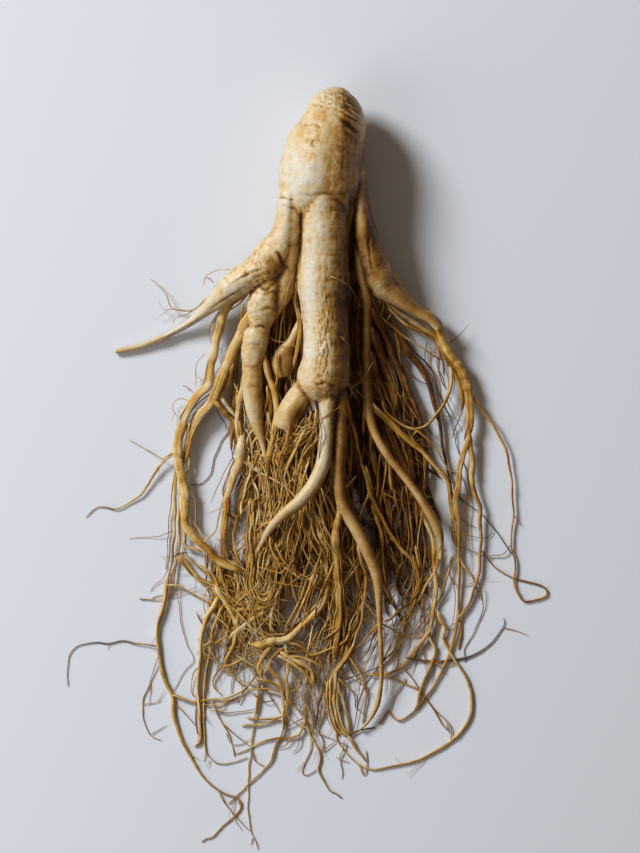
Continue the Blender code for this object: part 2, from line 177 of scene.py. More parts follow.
DARK_ROOT = [
    (11.0, 37.0, 14.6, 4.2, 4.2), (12.4, 30.0, 14.8, 3.5, 3.4), (12.6, 22.0, 14.8, 3.0, 2.9),
    (12.6, 11.0, 14.6, 2.8, 2.7), (12.5, 0.0, 14.4, 2.6, 2.5), (12.8, -8.0, 14.2, 2.5, 2.4),
    (14.0, -14.2, 14.0, 2.5, 2.4), (16.2, -18.6, 13.8, 2.5, 2.4), (18.8, -22.8, 13.4, 2.5, 2.4),
    (21.4, -27.6, 12.8, 2.5, 2.4), (24.0, -33.0, 12.2, 2.4, 2.3), (26.4, -38.6, 11.4, 2.3, 2.2),
    (28.0, -45.0, 10.4, 2.0, 1.9), (28.5, -52.0, 9.2, 1.55, 1.5), (28.7, -60.0, 8.0, 1.2, 1.2),
    (29.2, -72.0, 6.2, 1.05, 1.05), (29.4, -82.0, 4.8, 1.0, 1.0), (28.8, -89.0, 3.6, 1.1, 1.0),
    (27.3, -95.0, 2.7, 1.2, 1.0), (24.2, -100.5, 2.1, 0.8, 0.75), (20.5, -104.2, 1.8, 0.6, 0.6),
]
CROSSING_ROOT = [
    (18.8, 92.0, 14.6, 1.2, 2.0), (19.6, 86.0, 16.2, 2.1, 2.4), (21.4, 79.5, 16.4, 2.4, 2.4),
    (23.0, 72.0, 14.2, 2.2, 2.2), (23.6, 66.0, 12.6, 1.9, 1.9),
    (23.6, 56.0, 11.6, 1.75, 1.75), (23.5, 46.0, 11.2, 1.7, 1.7), (23.8, 36.0, 10.9, 1.75, 1.75),
    (24.3, 27.0, 10.7, 1.9, 1.9), (25.2, 20.0, 10.5, 1.9, 1.9), (28.0, 12.5, 10.4, 1.75, 1.75),
    (32.2, 5.5, 10.2, 1.7, 1.7), (37.0, -0.5, 9.9, 1.6, 1.6), (42.0, -7.0, 9.4, 1.6, 1.6),
    (46.4, -13.4, 8.6, 1.7, 1.7), (50.0, -19.4, 7.7, 2.1, 2.0), (52.2, -24.4, 6.8, 2.1, 2.0),
    (53.2, -29.0, 6.0, 1.3, 1.3), (53.0, -36.0, 5.0, 0.9, 0.9),
]
# The web of skin that fills the groove between the left leg and the centre leg.
SEAM = [
    (-5.6, 112.0, 18.6, 6.0, 6.9), (-6.0, 104.0, 18.9, 6.2, 7.2), (-6.4, 98.0, 18.7, 6.1, 7.0),
    (-7.0, 92.5, 18.2, 6.0, 6.6), (-7.4, 86.0, 17.2, 5.4, 5.8), (-7.8, 81.0, 16.2, 4.8, 5.0),
    (-8.6, 76.0, 14.8, 4.4, 4.5), (-9.8, 71.5, 13.4, 4.1, 4.1), (-12.6, 66.0, 12.0, 3.3, 3.4),
    (-16.0, 60.0, 11.2, 2.2, 2.2),
]
LIMBS = [HEAD_AND_BODY, SEAM, LEFT_LEG, CENTRE_LEG, RIGHT_LEG, LUMPY_LEG, BLUNT_ROOT, TUBER, PALE_ROOT,
         DARK_ROOT, CROSSING_ROOT]
HEAD_FACING = (0.0, -1.0, 0.0)   # the rings of the head stand square to this
LOFT_STEP, LOFT_AROUND = 1.0, 40    # distance between a limb's rings, and corners in each


def smooth_row(stations, step):
    """Stations about a step apart on a smooth curve through the given ones."""
    row = np.array(stations, float)
    row = np.vstack((2 * row[0] - row[1], row, 2 * row[-1] - row[-2]))
    spans = []
    for before, start, end, after in zip(row, row[1:], row[2:], row[3:]):
        count = max(1, round(np.linalg.norm((end - start)[:3]) / step))
        t = np.arange(count)[:, None] / count
        spans.append(0.5 * (2 * start + (end - before) * t
                            + (2 * before - 5 * start + 4 * end - after) * t ** 2
                            + (3 * start - before - 3 * end + after) * t ** 3))
    return np.vstack(spans + [row[-2:-1]])


def directions(path):
    """The unit direction of a path at each of its points."""
    along = np.gradient(path, axis=0)
    return along / np.maximum(np.linalg.norm(along, axis=1, keepdims=True), 1e-9)


def side_vectors(along):
    """Two unit vectors square to each direction, turned as little as possible along the way."""
    side = np.cross(along[0], (0.0, 0.0, 1.0))
    if np.linalg.norm(side) < 0.1:
        side = np.array((1.0, 0.0, 0.0))
    sides = []
    for direction in along:
        side = side - direction * (side @ direction)
        side = side / np.linalg.norm(side)
        sides.append(side)
    sides = np.array(sides)
    return sides, np.cross(sides, along)


def tube_faces(rings, around, first):
    """Quads between neighbouring rings of corners, the first ring starting at corner number first."""
    ring = np.arange(rings - 1)[:, None] * around
    corner = np.arange(around)[None, :]
    following = (corner + 1) % around
    quads = np.stack((ring + corner, ring + following, ring + around + following,
                      ring + around + corner), axis=-1)
    return quads.reshape(-1, 4) + first


def loft(name, stations, facing=None):
    """A closed limb through the stations, its rings square to its path or to a given direction."""
    around = LOFT_AROUND
    row = smooth_row(stations, LOFT_STEP)
    along = directions(row[:, :3]) if facing is None else np.tile(facing, (len(row), 1))
    across, up = side_vectors(along)
    angle = np.arange(around) * 2 * pi / around
    corners = (row[:, None, :3]
               + across[:, None] * (row[:, 3, None] * np.cos(angle))[..., None]
               + up[:, None] * (row[:, 4, None] * np.sin(angle))[..., None])
    faces = tube_faces(len(row), around, 0).tolist()
    faces.append(list(range(around))[::-1])
    faces.append([len(row) * around - around + corner for corner in range(around)])
    mesh = bpy.data.meshes.new(name)
    mesh.from_pydata((corners.reshape(-1, 3) * MM).tolist(), [], faces)
    obj = bpy.data.objects.new(name, mesh)
    bpy.context.scene.collection.objects.link(obj)
    return obj


def face_outwards(obj):
    """Recalculate the normals of a closed mesh so that they point out."""
    bpy.ops.object.select_all(action="DESELECT")
    obj.select_set(True)
    bpy.context.view_layer.objects.active = obj
    bpy.ops.object.mode_set(mode="EDIT")
    bpy.ops.mesh.select_all(action="SELECT")
    bpy.ops.mesh.normals_make_consistent(inside=False)
    bpy.ops.object.mode_set(mode="OBJECT")


SKIN_VOXEL = 0.54 * MM
SKIN_SMOOTHING = 7
CREASE_REACH = 9.0       # how far below the top of a limb a drawn crease still bites
CREASE_GIRTH = 6.0       # a crease has its whole depth on a limb of this radius or more
CREASE_FADING = 4.0      # a crease fades over the first and the last fourth of its length
DARKENING_SPREAD, HIGHLIGHT_SPREAD = 1.4, 1.8     # how much wider than the crease its colour is

# Creases drawn into the upper side: half width, depth, how dark with soil (in the deep slot between the
# centre and right legs that darkness is painted shade; below 0, how pale a painted highlight along the
# ridge edge beside it is), route (x, y).
CREASES = [
    # a pale painted highlight along the crescent edge of a ridge
    (0.25, 0.30, -0.4, [(8.6, 127), (9.2, 124.6), (10.6, 122), (12.4, 119.6), (14.4, 117.8)]),
    # along the left arm and across the lumpy leg
    (0.5, 0.45, 0.35, [(-24, 74), (-30, 70.4), (-36, 66.6), (-42, 62.4)]),
    (0.4, 0.30, 0.30, [(-18, 80.6), (-22, 79.4), (-27, 76.8), (-33, 72.8)]),
    (0.35, 0.30, 0.60, [(-38, 64.6), (-46, 59.2), (-56, 53.8), (-66, 50)]),
    (0.6, 0.25, 0.18, [(-21.6, 71), (-18, 70.2), (-14, 71.6), (-10.6, 71)]),
    (0.6, 0.25, 0.18, [(-24.4, 64), (-20, 63.4), (-16, 65), (-12.4, 64.4)]),
    (0.6, 0.25, 0.18, [(-25.8, 50), (-22, 50.8), (-18.2, 49.6)]),
    (0.6, 0.25, 0.18, [(-26, 42), (-22, 41.2), (-18.6, 42.4)]),
    (0.6, 0.25, 0.18, [(-25.6, 33), (-22, 33.8), (-18.6, 33)]),
    # round the collar and down between the legs
    (0.7, 0.22, 0.30, [(-4, 110.4), (1, 109.6), (6, 110.4), (11, 109.8), (15, 111), (18, 111.5)]),
    (0.5, 0.30, 0.25, [(-12, 108.6), (-10, 108.9), (-7.5, 107.9), (-5, 107.7)]),
    (0.4, 0.20, 0.20, [(-12, 105.3), (-9.6, 105.8), (-7, 104.9), (-4.8, 104.4)]),
    (0.4, 0.40, 0.20, [(-3.0, 106), (-2.6, 103), (-2.6, 96), (-2.9, 88), (-3.3, 80), (-4.4, 72)]),
    # the deep slot between the centre and right legs: its darkness is painted shade
    (1.0, 1.60, 0.90, [(18.0, 113), (17.5, 109), (17.1, 104), (17.2, 96), (17.4, 88), (17.8, 80),
     (18.4, 74)]),
    (0.55, 0.60, 0.40, [(-14, 88), (-11.6, 86.6), (-10.4, 83.8), (-9.2, 81.6), (-7, 80.4)]),
    (0.9, 0.40, 0.25, [(-20, 72.6), (-17, 72), (-14.6, 73.6), (-12, 76)]),
    (0.6, 0.50, 0.40, [(-22.5, 57), (-19, 57.8), (-15.5, 56.6)]),
    (0.3, 0.25, 0.45, [(3.4, 131.4), (2.2, 131.3), (1.5, 130.2), (2.1, 129), (3.4, 128.9)]),
    (0.4, 0.30, 0.20, [(-4, 138.6), (-1, 137.6), (2.4, 138), (5, 136.6), (8, 137.4)]),
    (0.4, 0.30, 0.25, [(1, 146.6), (3, 145.2), (4.6, 145.8), (6.4, 144.6)]),
    (0.4, 0.30, 0.25, [(24.8, 96), (24.2, 90), (24.8, 84), (26, 78)]),
    (0.5, 0.40, 0.35, [(1, 35.6), (4, 34.4), (7, 35), (10, 33.8), (13, 34.2)]),
]
# Patches of colour on the upper side: x, y, half sizes, how far towards cream (+) or brown (-). The pale
# one on the lamp side of the head (at -5, 122) and those down the left of the centre leg are painted
# highlight, the brown one down the right of the centre leg is painted shade, and those on the right leg are
# partly painted shade.
STAINS_AND_LIGHT_PATCHES = [
    (-5.0, 122.0, 5.0, 10.0, 0.26), (-7.5, 104.0, 3.0, 8.0, 0.18), (-28.0, 76.0, 8.0, 6.0, 0.16),
    (-50.0, 58.0, 20.0, 12.0, 0.16), (22.0, 100.0, 5.0, 16.0, -0.20), (1.0, 117.0, 8.0, 6.0, 0.10),
    (2.0, 100.0, 4.0, 10.0, 0.12), (0.5, 78.0, 2.6, 12.0, 0.30), (0.0, 50.0, 2.4, 18.0, 0.28),
    (11.0, 148.0, 4.5, 4.0, 0.05), (22.0, 135.0, 1.6, 5.0, 0.25), (1.0, 133.0, 6.0, 3.6, -0.22),
    (15.4, 139.0, 3.0, 9.0, -0.34), (5.5, 142.0, 3.0, 4.0, -0.20), (21.6, 140.0, 1.6, 8.0, 0.20),
    (13.0, 122.0, 4.0, 8.0, -0.08),
    (-9.0, 90.0, 5.0, 6.0, -0.10), (-11.5, 81.5, 5.5, 4.5, -0.42), (23.5, 91.0, 4.0, 8.0, -0.34),
    (26.0, 79.0, 5.0, 6.0, -0.20), (13.5, 60.0, 2.8, 26.0, -0.30), (6.5, 52.0, 2.4, 22.0, -0.10),
    (-16.0, 68.0, 4.0, 6.0, -0.05), (-4.0, 22.0, 3.0, 6.0, -0.15), (-9.0, 24.0, 2.0, 5.0, 0.15),
    (-20.0, 50.0, 3.0, 6.0, 0.10), (6.0, 33.0, 8.0, 3.0, -0.22), (-26.0, 78.0, 6.0, 3.0, -0.10),
    (-36.0, 68.0, 6.0, 4.0, -0.10), (12.3, 12.0, 3.0, 26.0, -0.26), (-10.0, 43.0, 4.6, 7.0, -0.40),
    (-7.0, 22.0, 7.0, 7.0, -0.20), (-22.0, 34.0, 5.0, 16.0, -0.12), (23.4, 44.0, 3.0, 34.0, -0.26),
    (40.0, 66.0, 14.0, 7.0, -0.28), (28.0, 88.0, 5.0, 12.0, -0.12), (6.8, 12.0, 1.6, 16.0, 0.22),
    (24.0, 26.0, 5.0, 14.0, -0.24), (34.0, 4.0, 9.0, 8.0, -0.26), (48.0, -18.0, 8.0, 12.0, -0.26),
    (14.0, -8.0, 5.0, 16.0, -0.24), (24.0, -34.0, 6.0, 14.0, -0.24), (29.0, -70.0, 5.0, 30.0, -0.18),
    (-6.0, 25.0, 6.0, 9.0, -0.10), (-10.0, 72.0, 4.0, 7.0, -0.22),
]
BARK = (6.3, 50.0, 3.2, 24.0)     # scaly ridge down the centre leg: x, y, half sizes
CROWN = (10.5, 149.0, 8.0, 5.5)   # rough scabby top of the head
SCAR = (16.8, 142.5, 4.3, 8.5)    # where last year's stem broke off
COLLAR_AT, COLLAR_WIDTH = 105.0, 7.0

# Sizes of the lumps in the skin, and how much finer the drawn-out ones are across, across and along.
LUMP_SIZE, KNOB_SIZE, GRIT_SIZE, PATCH_SIZE = 13.0, 4.2, 1.1, 9.0
RING_FINENESS = (0.16, 0.16, 0.75)
STREAK_FINENESS = (0.6, 0.6, 0.09)
FLAKE_FINENESS = (1.5, 0.55, 1.5)
CRACK_FINENESS = (1.1, 0.2, 1.1)
STRIPE_FINENESS = (0.12, 0.9, 0.2)
# How high each kind stands, and how far the rough places are sunk to take it.
LUMP_HEIGHT, KNOB_HEIGHT, GNARLED_KNOB_HEIGHT = 0.34, 0.20, 0.40
RING_HEIGHT, GNARLED_RING_HEIGHT, STREAK_HEIGHT = 0.10, 0.15, 0.06
GRIT_HEIGHT, GNARLED_FLAKE_HEIGHT = 0.05, 0.10
CROWN_FLAKE_HEIGHT, CROWN_GRIT_HEIGHT = 0.6, 0.3
BARK_CRACK_HEIGHT, BARK_GRIT_HEIGHT = 0.9, 0.1
SCAR_STRIPE_HEIGHT = 0.6
ROUGH_SINK = 0.2
# Tone runs from brown at 0 to cream at 1. These are its middle and what moves it.
MIDDLE_TONE, PATCH_TONE, LINE_TONE = 0.66, 0.12, 0.03
# The shaded-side and underside tones darken the side turned from the lamp and the underside: painted shade.
SHADED_SIDE_TONE, UNDERSIDE_PAINTED_SHADE, THIN_LIMB_TONE = 0.34, 0.10, 0.16
# The dip tone darkens broad hollows and pales crests: painted shade and painted highlight.
DIP_PAINTED_SHADE_AND_HIGHLIGHT = 1.2
SCAR_TONE, SCAR_STRIPE_TONE = 0.20, 0.5
CROWN_TONE, CROWN_FLAKE_TONE = 0.06, 0.2
BARK_TONE, BARK_CRACK_TONE = 0.08, 0.25
GNARLED_TONE, GNARLED_FLAKE_TONE = 0.06, 0.08
PIT_ROUNDS, DIP_ROUNDS = 3, 14   # how widely a corner is compared with its neighbourhood
PIT_SOIL, PIT_LIMIT = 3.2, 0.03
# In broad hollows the soil colour is partly soil and partly painted shade.
DIP_SOIL_AND_SHADE, DIP_LIMIT = 0.9, 0.1
FLOOR_CLEARANCE = 0.05
AXIS_STEP = 0.8
ABOVE_CROWN = 160.0      # where the lengths along the limbs are counted from
NEAR_STATIONS = 24


def oval(x, y, place):
    """1 at the middle of an oval place, falling off smoothly to 0 outside it."""
    return np.exp(-((x - place[0]) / place[2]) ** 2 - ((y - place[1]) / place[3]) ** 2)


def fractal(points, size, octaves=3, seed=0.0):
    """Smooth noise, about -1 to 1, with lumps of the given size in millimetres."""
    shift = Vector((seed * 7.3, seed * 3.1, seed * 5.7))
    return np.array([noise.fractal(Vector(point) + shift, 1.0, 2.0, octaves)
                     for point in (points / size).tolist()])


def limb_axes():
    """Every limb's centre line as one table: point, mean radius, direction and length so far."""
    rows = []
    for number, stations in enumerate(LIMBS):
        row = smooth_row(stations, AXIS_STEP)
        along = directions(row[:, :3])
        run = np.concatenate(((0,), np.cumsum(np.linalg.norm(np.diff(row[:, :3], axis=0), axis=1))))
        start = ABOVE_CROWN - stations[0][1]
        mean = (row[:, 3] + row[:, 4]) / 2
        rows.append(np.column_stack((row[:, :3], mean, along, run + start, np.full(len(row), number))))
    return np.vstack(rows)


def corner_table(mesh):
    """Corners and normals of a mesh in millimetres."""
    corners = np.empty(len(mesh.vertices) * 3, np.float32)
    mesh.vertices.foreach_get("co", corners)
    normals = np.empty(len(mesh.vertices) * 3, np.float32)
    mesh.vertex_normals.foreach_get("vector", normals)
    return corners.reshape(-1, 3).astype(float) / MM, normals.reshape(-1, 3).astype(float)


def set_corners(mesh, corners):
    """Move the corners of a mesh to places given in millimetres."""
    mesh.vertices.foreach_set("co", (corners * MM).astype(np.float32).ravel())
    mesh.update()


def set_number(mesh, name, values):
    """Store one number for each corner, for the finish to read."""
    mesh.attributes.new(name, "FLOAT", "POINT").data.foreach_set("value", values.astype(np.float32))


def set_vector(mesh, name, values):
    """Store one place for each corner, for the finish to read."""
    mesh.attributes.new(name, "FLOAT_VECTOR", "POINT").data.foreach_set(
        "vector", values.astype(np.float32).ravel())


def hollows(mesh, corners, normals, rounds):
    """How far each corner lies below its neighbourhood, in millimetres; crests are negative."""
    edges = np.empty(len(mesh.edges) * 2, np.int32)
    mesh.edges.foreach_get("vertices", edges)
    first, second = edges.reshape(-1, 2).T
    count = np.bincount(edges, minlength=len(corners))[:, None]
    eased = corners.copy()
    for _ in range(rounds):
        total = np.zeros_like(eased)
        for axis in range(3):
            total[:, axis] = (np.bincount(first, eased[second, axis], len(eased))
                              + np.bincount(second, eased[first, axis], len(eased)))
        eased = total / count
    return ((eased - corners) * normals).sum(axis=1)


def crease_field(corners, top_of_limb):
    """Depth, soil with painted shade, and the paleness of painted highlight that the drawn creases give
    each corner.
    """
    depth = np.zeros(len(corners))
    soil_and_shade = np.zeros(len(corners))
    pale = np.zeros(len(corners))
    upper = np.clip(1 - (top_of_limb - corners[:, 2]) / CREASE_REACH, 0, 1)
    for half_width, bite, dark, route in CREASES:
        route = np.array(route, float)
        near = np.full(len(corners), np.inf)
        last = len(route) - 1
        place = np.zeros(len(corners))
        for number, (start, end) in enumerate(zip(route, route[1:])):
            span = end - start
            share = np.clip(((corners[:, :2] - start) @ span) / (span @ span), 0, 1)
            gap = corners[:, :2] - start - share[:, None] * span
            distance = np.hypot(gap[:, 0], gap[:, 1])
            place = np.where(distance < near, (number + share) / last, place)
            near = np.minimum(near, distance)
        fade = np.clip(CREASE_FADING * np.minimum(place, 1 - place), 0.05, 1) * upper
        depth = np.maximum(depth, bite * fade * np.exp(-(near / half_width) ** 2))
        soil_and_shade = np.maximum(soil_and_shade, dark * fade * np.exp(-(near / (half_width * DARKENING_SPREAD)) ** 2))
        pale = np.maximum(pale, -dark * fade * np.exp(-(near / (half_width * HIGHLIGHT_SPREAD)) ** 2))
    return depth, soil_and_shade, pale


def owning_stations(corners, axes, tree):
    """For each corner, the limb station whose surface it lies closest to."""
    owners = np.empty(len(corners), int)
    for number, corner in enumerate(corners.tolist()):
        near = tree.find_n(corner, NEAR_STATIONS)
        owners[number] = min(near, key=lambda found: abs(found[2] - axes[found[1], 3]))[1]
    return owners


limbs = [loft("head", HEAD_AND_BODY, facing=HEAD_FACING)]
limbs += [loft(f"limb_{number}", stations) for number, stations in enumerate(LIMBS[1:])]
bpy.ops.object.select_all(action="DESELECT")
for limb in limbs:
    limb.select_set(True)
bpy.context.view_layer.objects.active = limbs[0]
bpy.ops.object.join()
body = bpy.context.object
body.name = "root_body"
face_outwards(body)
melt = body.modifiers.new("melt", "REMESH")
melt.mode = "VOXEL"
melt.voxel_size = SKIN_VOXEL
melt.use_smooth_shade = True
bpy.ops.object.modifier_apply(modifier="melt")
ease = body.modifiers.new("ease", "SMOOTH")
ease.factor = 0.5
ease.iterations = SKIN_SMOOTHING
bpy.ops.object.modifier_apply(modifier="ease")

corners, normals = corner_table(body.data)
axes = limb_axes()
tree = kdtree.KDTree(len(axes))
for number, point in enumerate(axes[:, :3]):
    tree.insert(Vector(point), number)
tree.balance()

owner = owning_stations(corners, axes, tree)
offset = corners - axes[owner, :3]
limb_along = axes[owner, 4:7]
limb_side = np.cross(limb_along, (0.0, 0.0, 1.0))
limb_side /= np.linalg.norm(limb_side, axis=1, keepdims=True)
limb_up = np.cross(limb_side, limb_along)
grain = np.column_stack(((offset * limb_side).sum(axis=1), (offset * limb_up).sum(axis=1),
                         axes[owner, 7] + (offset * limb_along).sum(axis=1)))
girth = axes[owner, 3]
x, y = corners[:, 0], corners[:, 1]
above = np.clip(normals[:, 2] + 0.4, 0, 1)
stout = np.clip((girth - 1.2) / 6.0, 0.12, 1.0)

lumps = fractal(corners, LUMP_SIZE, 2, 1)
knobs = fractal(corners, KNOB_SIZE, 3, 2)
rings = fractal(grain * RING_FINENESS, 1.0, 3, 3)
streaks = fractal(grain * STREAK_FINENESS, 1.0, 4, 4)
flakes = fractal(corners * FLAKE_FINENESS, 1.0, 3, 5)
cracks = fractal(corners * CRACK_FINENESS, 1.0, 3, 9)
grit = fractal(corners, GRIT_SIZE, 2, 6)
slanting = np.column_stack((0.8 * x - 0.6 * y, 0.6 * x + 0.8 * y, corners[:, 2]))
striped = fractal(slanting * STRIPE_FINENESS, 1.0, 3, 7)
collar = np.exp(-((y - COLLAR_AT) / COLLAR_WIDTH) ** 2) * (y > 90)
crown = oval(x, y, CROWN) * above
scar = oval(x, y, SCAR) * above
bark = oval(x, y, BARK) * above
gnarled = np.clip((-12 - x) / 8, 0, 1) * np.clip(y / 12, 0, 1) * stout     # the left leg and its arm
wrinkled = 0.35 + 0.9 * collar + 0.5 * crown + 0.4 * (y < 86)
crease_depth, crease_soil_and_shade, painted_ridge_highlight = crease_field(corners, axes[owner, 2] + girth)

relief = (LUMP_HEIGHT * lumps * stout
          + (KNOB_HEIGHT + GNARLED_KNOB_HEIGHT * gnarled) * knobs * stout
          + (RING_HEIGHT + GNARLED_RING_HEIGHT * gnarled) * rings * wrinkled * stout
          + STREAK_HEIGHT * streaks * stout * (1 - crown)
          + GNARLED_FLAKE_HEIGHT * gnarled * np.abs(flakes)
          + crown * (CROWN_FLAKE_HEIGHT * np.abs(flakes) + CROWN_GRIT_HEIGHT * grit - ROUGH_SINK)
          + bark * (BARK_CRACK_HEIGHT * np.abs(cracks) + BARK_GRIT_HEIGHT * grit - ROUGH_SINK)
          + scar * (SCAR_STRIPE_HEIGHT * striped - ROUGH_SINK)
          + GRIT_HEIGHT * grit
          - crease_depth * np.clip(girth / CREASE_GIRTH, 0.4, 1))
corners = corners + normals * relief[:, None]
corners[:, 2] = np.maximum(corners[:, 2], FLOOR_CLEARANCE)
set_corners(body.data, corners)
corners, normals = corner_table(body.data)
pits = hollows(body.data, corners, normals, PIT_ROUNDS)
dips = hollows(body.data, corners, normals, DIP_ROUNDS)

# soil in pits and creases, with painted shade in broad hollows and in the deep slot between the centre and
# right legs
soil_and_shade = np.clip(crease_soil_and_shade + PIT_SOIL * np.clip(pits - PIT_LIMIT, 0, 1)
               + DIP_SOIL_AND_SHADE * np.clip(dips - DIP_LIMIT, 0, 2), 0, 1)
tone = (MIDDLE_TONE + PATCH_TONE * fractal(corners, PATCH_SIZE, 3, 8)
        + LINE_TONE * streaks + LINE_TONE * rings
        # painted shade on the side turned from the lamp
        - SHADED_SIDE_TONE * np.clip(normals[:, 0] + 0.05, 0, 1)
        # painted shade in broad hollows, painted highlight on crests
        - DIP_PAINTED_SHADE_AND_HIGHLIGHT * np.clip(dips, -0.15, 0.5)
        - scar * (SCAR_TONE - SCAR_STRIPE_TONE * striped)
        + crown * (CROWN_FLAKE_TONE * flakes - CROWN_TONE)
        + bark * (BARK_CRACK_TONE * np.abs(cracks) - BARK_TONE)
        - gnarled * (GNARLED_TONE + GNARLED_FLAKE_TONE * flakes)
        - THIN_LIMB_TONE * np.clip(1 - girth / 4, 0, 1))
# stains, and patches of painted highlight and painted shade
for tone_patch in STAINS_AND_LIGHT_PATCHES:
    tone += tone_patch[4] * oval(x, y, tone_patch) * above
# the pale line along the crescent ridge is a painted highlight, and the darker underside is painted shade
tone += painted_ridge_highlight - UNDERSIDE_PAINTED_SHADE * np.clip(-normals[:, 2], 0, 1)
set_number(body.data, "tone", np.clip(tone, 0, 1))
set_number(body.data, "soil_and_shade", soil_and_shade)
set_vector(body.data, "grain", grain)


def tint(red, green, blue):
    """A colour from its three display values, 0 to 255."""
    display = np.array((red, green, blue)) / 255
    linear = np.where(display < 0.04045, display / 12.92, ((display + 0.055) / 1.055) ** 2.4)
    return (*linear.tolist(), 1.0)


class Number:
    """A number that varies over a surface: a socket that is added and multiplied like a number."""

    def __init__(self, finish, socket):
        self.finish = finish
        self.socket = socket

    def worked(self, operation, first, second):
        """The outcome of one step of arithmetic."""
        node = self.finish.node("Math", {"operation": operation}, {0: first, 1: second})
        return Number(self.finish, node.outputs[0])

    def __add__(self, other):
        return self.worked("ADD", self, other)

    def __radd__(self, other):
        return self.worked("ADD", other, self)

    def __sub__(self, other):
        return self.worked("SUBTRACT", self, other)

    def __rsub__(self, other):
        return self.worked("SUBTRACT", other, self)

    def __mul__(self, other):
        return self.worked("MULTIPLY", self, other)

    def __rmul__(self, other):
        return self.worked("MULTIPLY", other, self)


class Finish:
    """A material whose nodes are added one by one."""

    def __init__(self, name):
        self.material = bpy.data.materials.new(name)
        self.material.use_nodes = True
        self.shader = self.material.node_tree.nodes["Principled BSDF"]

    def feed(self, socket, value):
        """Give a socket a link or a plain value."""
        if isinstance(value, Number):
            value = value.socket
        if isinstance(value, bpy.types.NodeSocket):
            self.material.node_tree.links.new(value, socket)
        else:
            socket.default_value = value

    def node(self, kind, settings, sockets):
        """Add one node: its settings are made first, then its sockets are fed."""
        made = self.material.node_tree.nodes.new("ShaderNode" + kind)
        stops = settings.pop("stops", [])
        for setting, value in settings.items():
            setattr(made, setting, value)
        for number, (place, colour) in enumerate(stops):
            if number > 1:
                made.color_ramp.elements.new(place)
            made.color_ramp.elements[number].position = place
            made.color_ramp.elements[number].color = colour
        for socket, value in sockets.items():
            self.feed(made.inputs[socket], value)
        return made

    def stored(self, name):
        """A number stored on the mesh."""
        return Number(self, self.node("Attribute", {"attribute_name": name}, {}).outputs["Fac"])

    def grain(self, scale):
        """The place on the root, stretched: across, across and along it."""
        place = self.node("Attribute", {"attribute_name": "grain"}, {}).outputs["Vector"]
        return self.node("VectorMath", {"operation": "MULTIPLY"}, {0: place, 1: scale}).outputs[0]

    def cloud(self, place, scale, detail, roughness=0.5):
        """Noise from -0.5 to 0.5."""
        made = self.node("TexNoise", {}, {"Vector": place, "Scale": scale, "Detail": detail,
                                          "Roughness": roughness})
        return Number(self, made.outputs["Fac"]) - 0.5


SKIN_TONES = [
    (0.0, tint(44, 22, 4)), (0.2, tint(100, 62, 18)), (0.4, tint(150, 107, 46)),
    (0.58, tint(184, 148, 86)), (0.76, tint(197, 176, 134)), (1.0, tint(203, 196, 180)),
]
# the soil colour, also used as painted shade in hollows, the deep slot and the rootlets' furrows
SOIL_AND_SHADE_COLOUR = tint(76, 46, 14)
FIBRE_GRAIN, RING_GRAIN = (1.7, 1.7, 0.09), (0.3, 0.3, 1.9)    # per millimetre across, across, along
PORE_SCALE, MOTTLE_SCALE, CLOUD_SCALE = 1100.0, 260.0, 90.0    # per metre
SKIN_GLOSS = 0.42
GLOW_SHARE, GLOW_COLOUR, GLOW_DEPTH = 0.12, (1.0, 0.55, 0.25), 1.2 * MM     # light inside the flesh


def root_skin(name, tones, roughness, wrinkle, ring_share, fibre_share, cloud_share):
    """Dried skin: cream to ochre by the stored tone, the soil colour mixed in where soil and painted shade
    are stored, fine rings and fibres.
    """
    finish = Finish(name)
    place = finish.node("TexCoord", {}, {}).outputs["Object"]
    fibres = finish.cloud(finish.grain(FIBRE_GRAIN), 1.0, 4.0, 0.65)
    rings = finish.cloud(finish.grain(RING_GRAIN), 1.0, 3.0, 0.6)
    pores = finish.cloud(place, PORE_SCALE, 2.0, 0.6)
    mottle = finish.cloud(place, MOTTLE_SCALE, 4.0, 0.65)
    patches = finish.cloud(place, CLOUD_SCALE, 3.0, 0.6)
    tone = (finish.stored("tone") + fibre_share * fibres + 0.12 * ring_share * rings
            + 0.12 * pores + cloud_share * (0.30 * mottle + 0.40 * patches))
    ramp = finish.node("ValToRGB", {"stops": tones}, {"Fac": tone})
    soil_and_shade = finish.stored("soil_and_shade") * (1.0 + 1.6 * mottle)
    colour = finish.node("Mix", {"data_type": "RGBA", "clamp_factor": True},
                         {"Factor": soil_and_shade, 6: ramp.outputs["Color"], 7: SOIL_AND_SHADE_COLOUR})
    height = 0.5 * ring_share * rings + fibre_share * fibres + 0.3 * pores
    bump = finish.node("Bump", {}, {"Height": height, "Distance": wrinkle * MM, "Strength": 1.0})
    finish.feed(finish.shader.inputs["Base Color"], colour.outputs[2])
    finish.feed(finish.shader.inputs["Roughness"], roughness + 0.25 * mottle + 0.15 * soil_and_shade)
    finish.feed(finish.shader.inputs["Normal"], bump.outputs["Normal"])
    finish.shader.inputs["Specular IOR Level"].default_value = SKIN_GLOSS
    finish.shader.inputs["Subsurface Weight"].default_value = GLOW_SHARE
    finish.shader.inputs["Subsurface Radius"].default_value = GLOW_COLOUR
    finish.shader.inputs["Subsurface Scale"].default_value = GLOW_DEPTH
    return finish.material


def grow_on_root(piece):
    """Every piece is a part of the one root, so it rides on its body and stands for it."""
    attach(piece, "root")
    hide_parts("ginseng_root")


body.data.materials.clear()
body.data.materials.append(root_skin("root_skin", SKIN_TONES, roughness=0.38, wrinkle=0.5, ring_share=0.4,
                                     fibre_share=0.15, cloud_share=0.75))
body.data.polygons.foreach_set("use_smooth", np.ones(len(body.data.polygons), bool))
grow_on_root(body)


# ---------------------------------------------------------------- left rootlets
# Long tapering rootlets that branch from the left leg and the lumpy leg. They dried wavy, knobbly and
# a little flattened, pale where they are thick and brown at the tips, lying on each other and the floor.

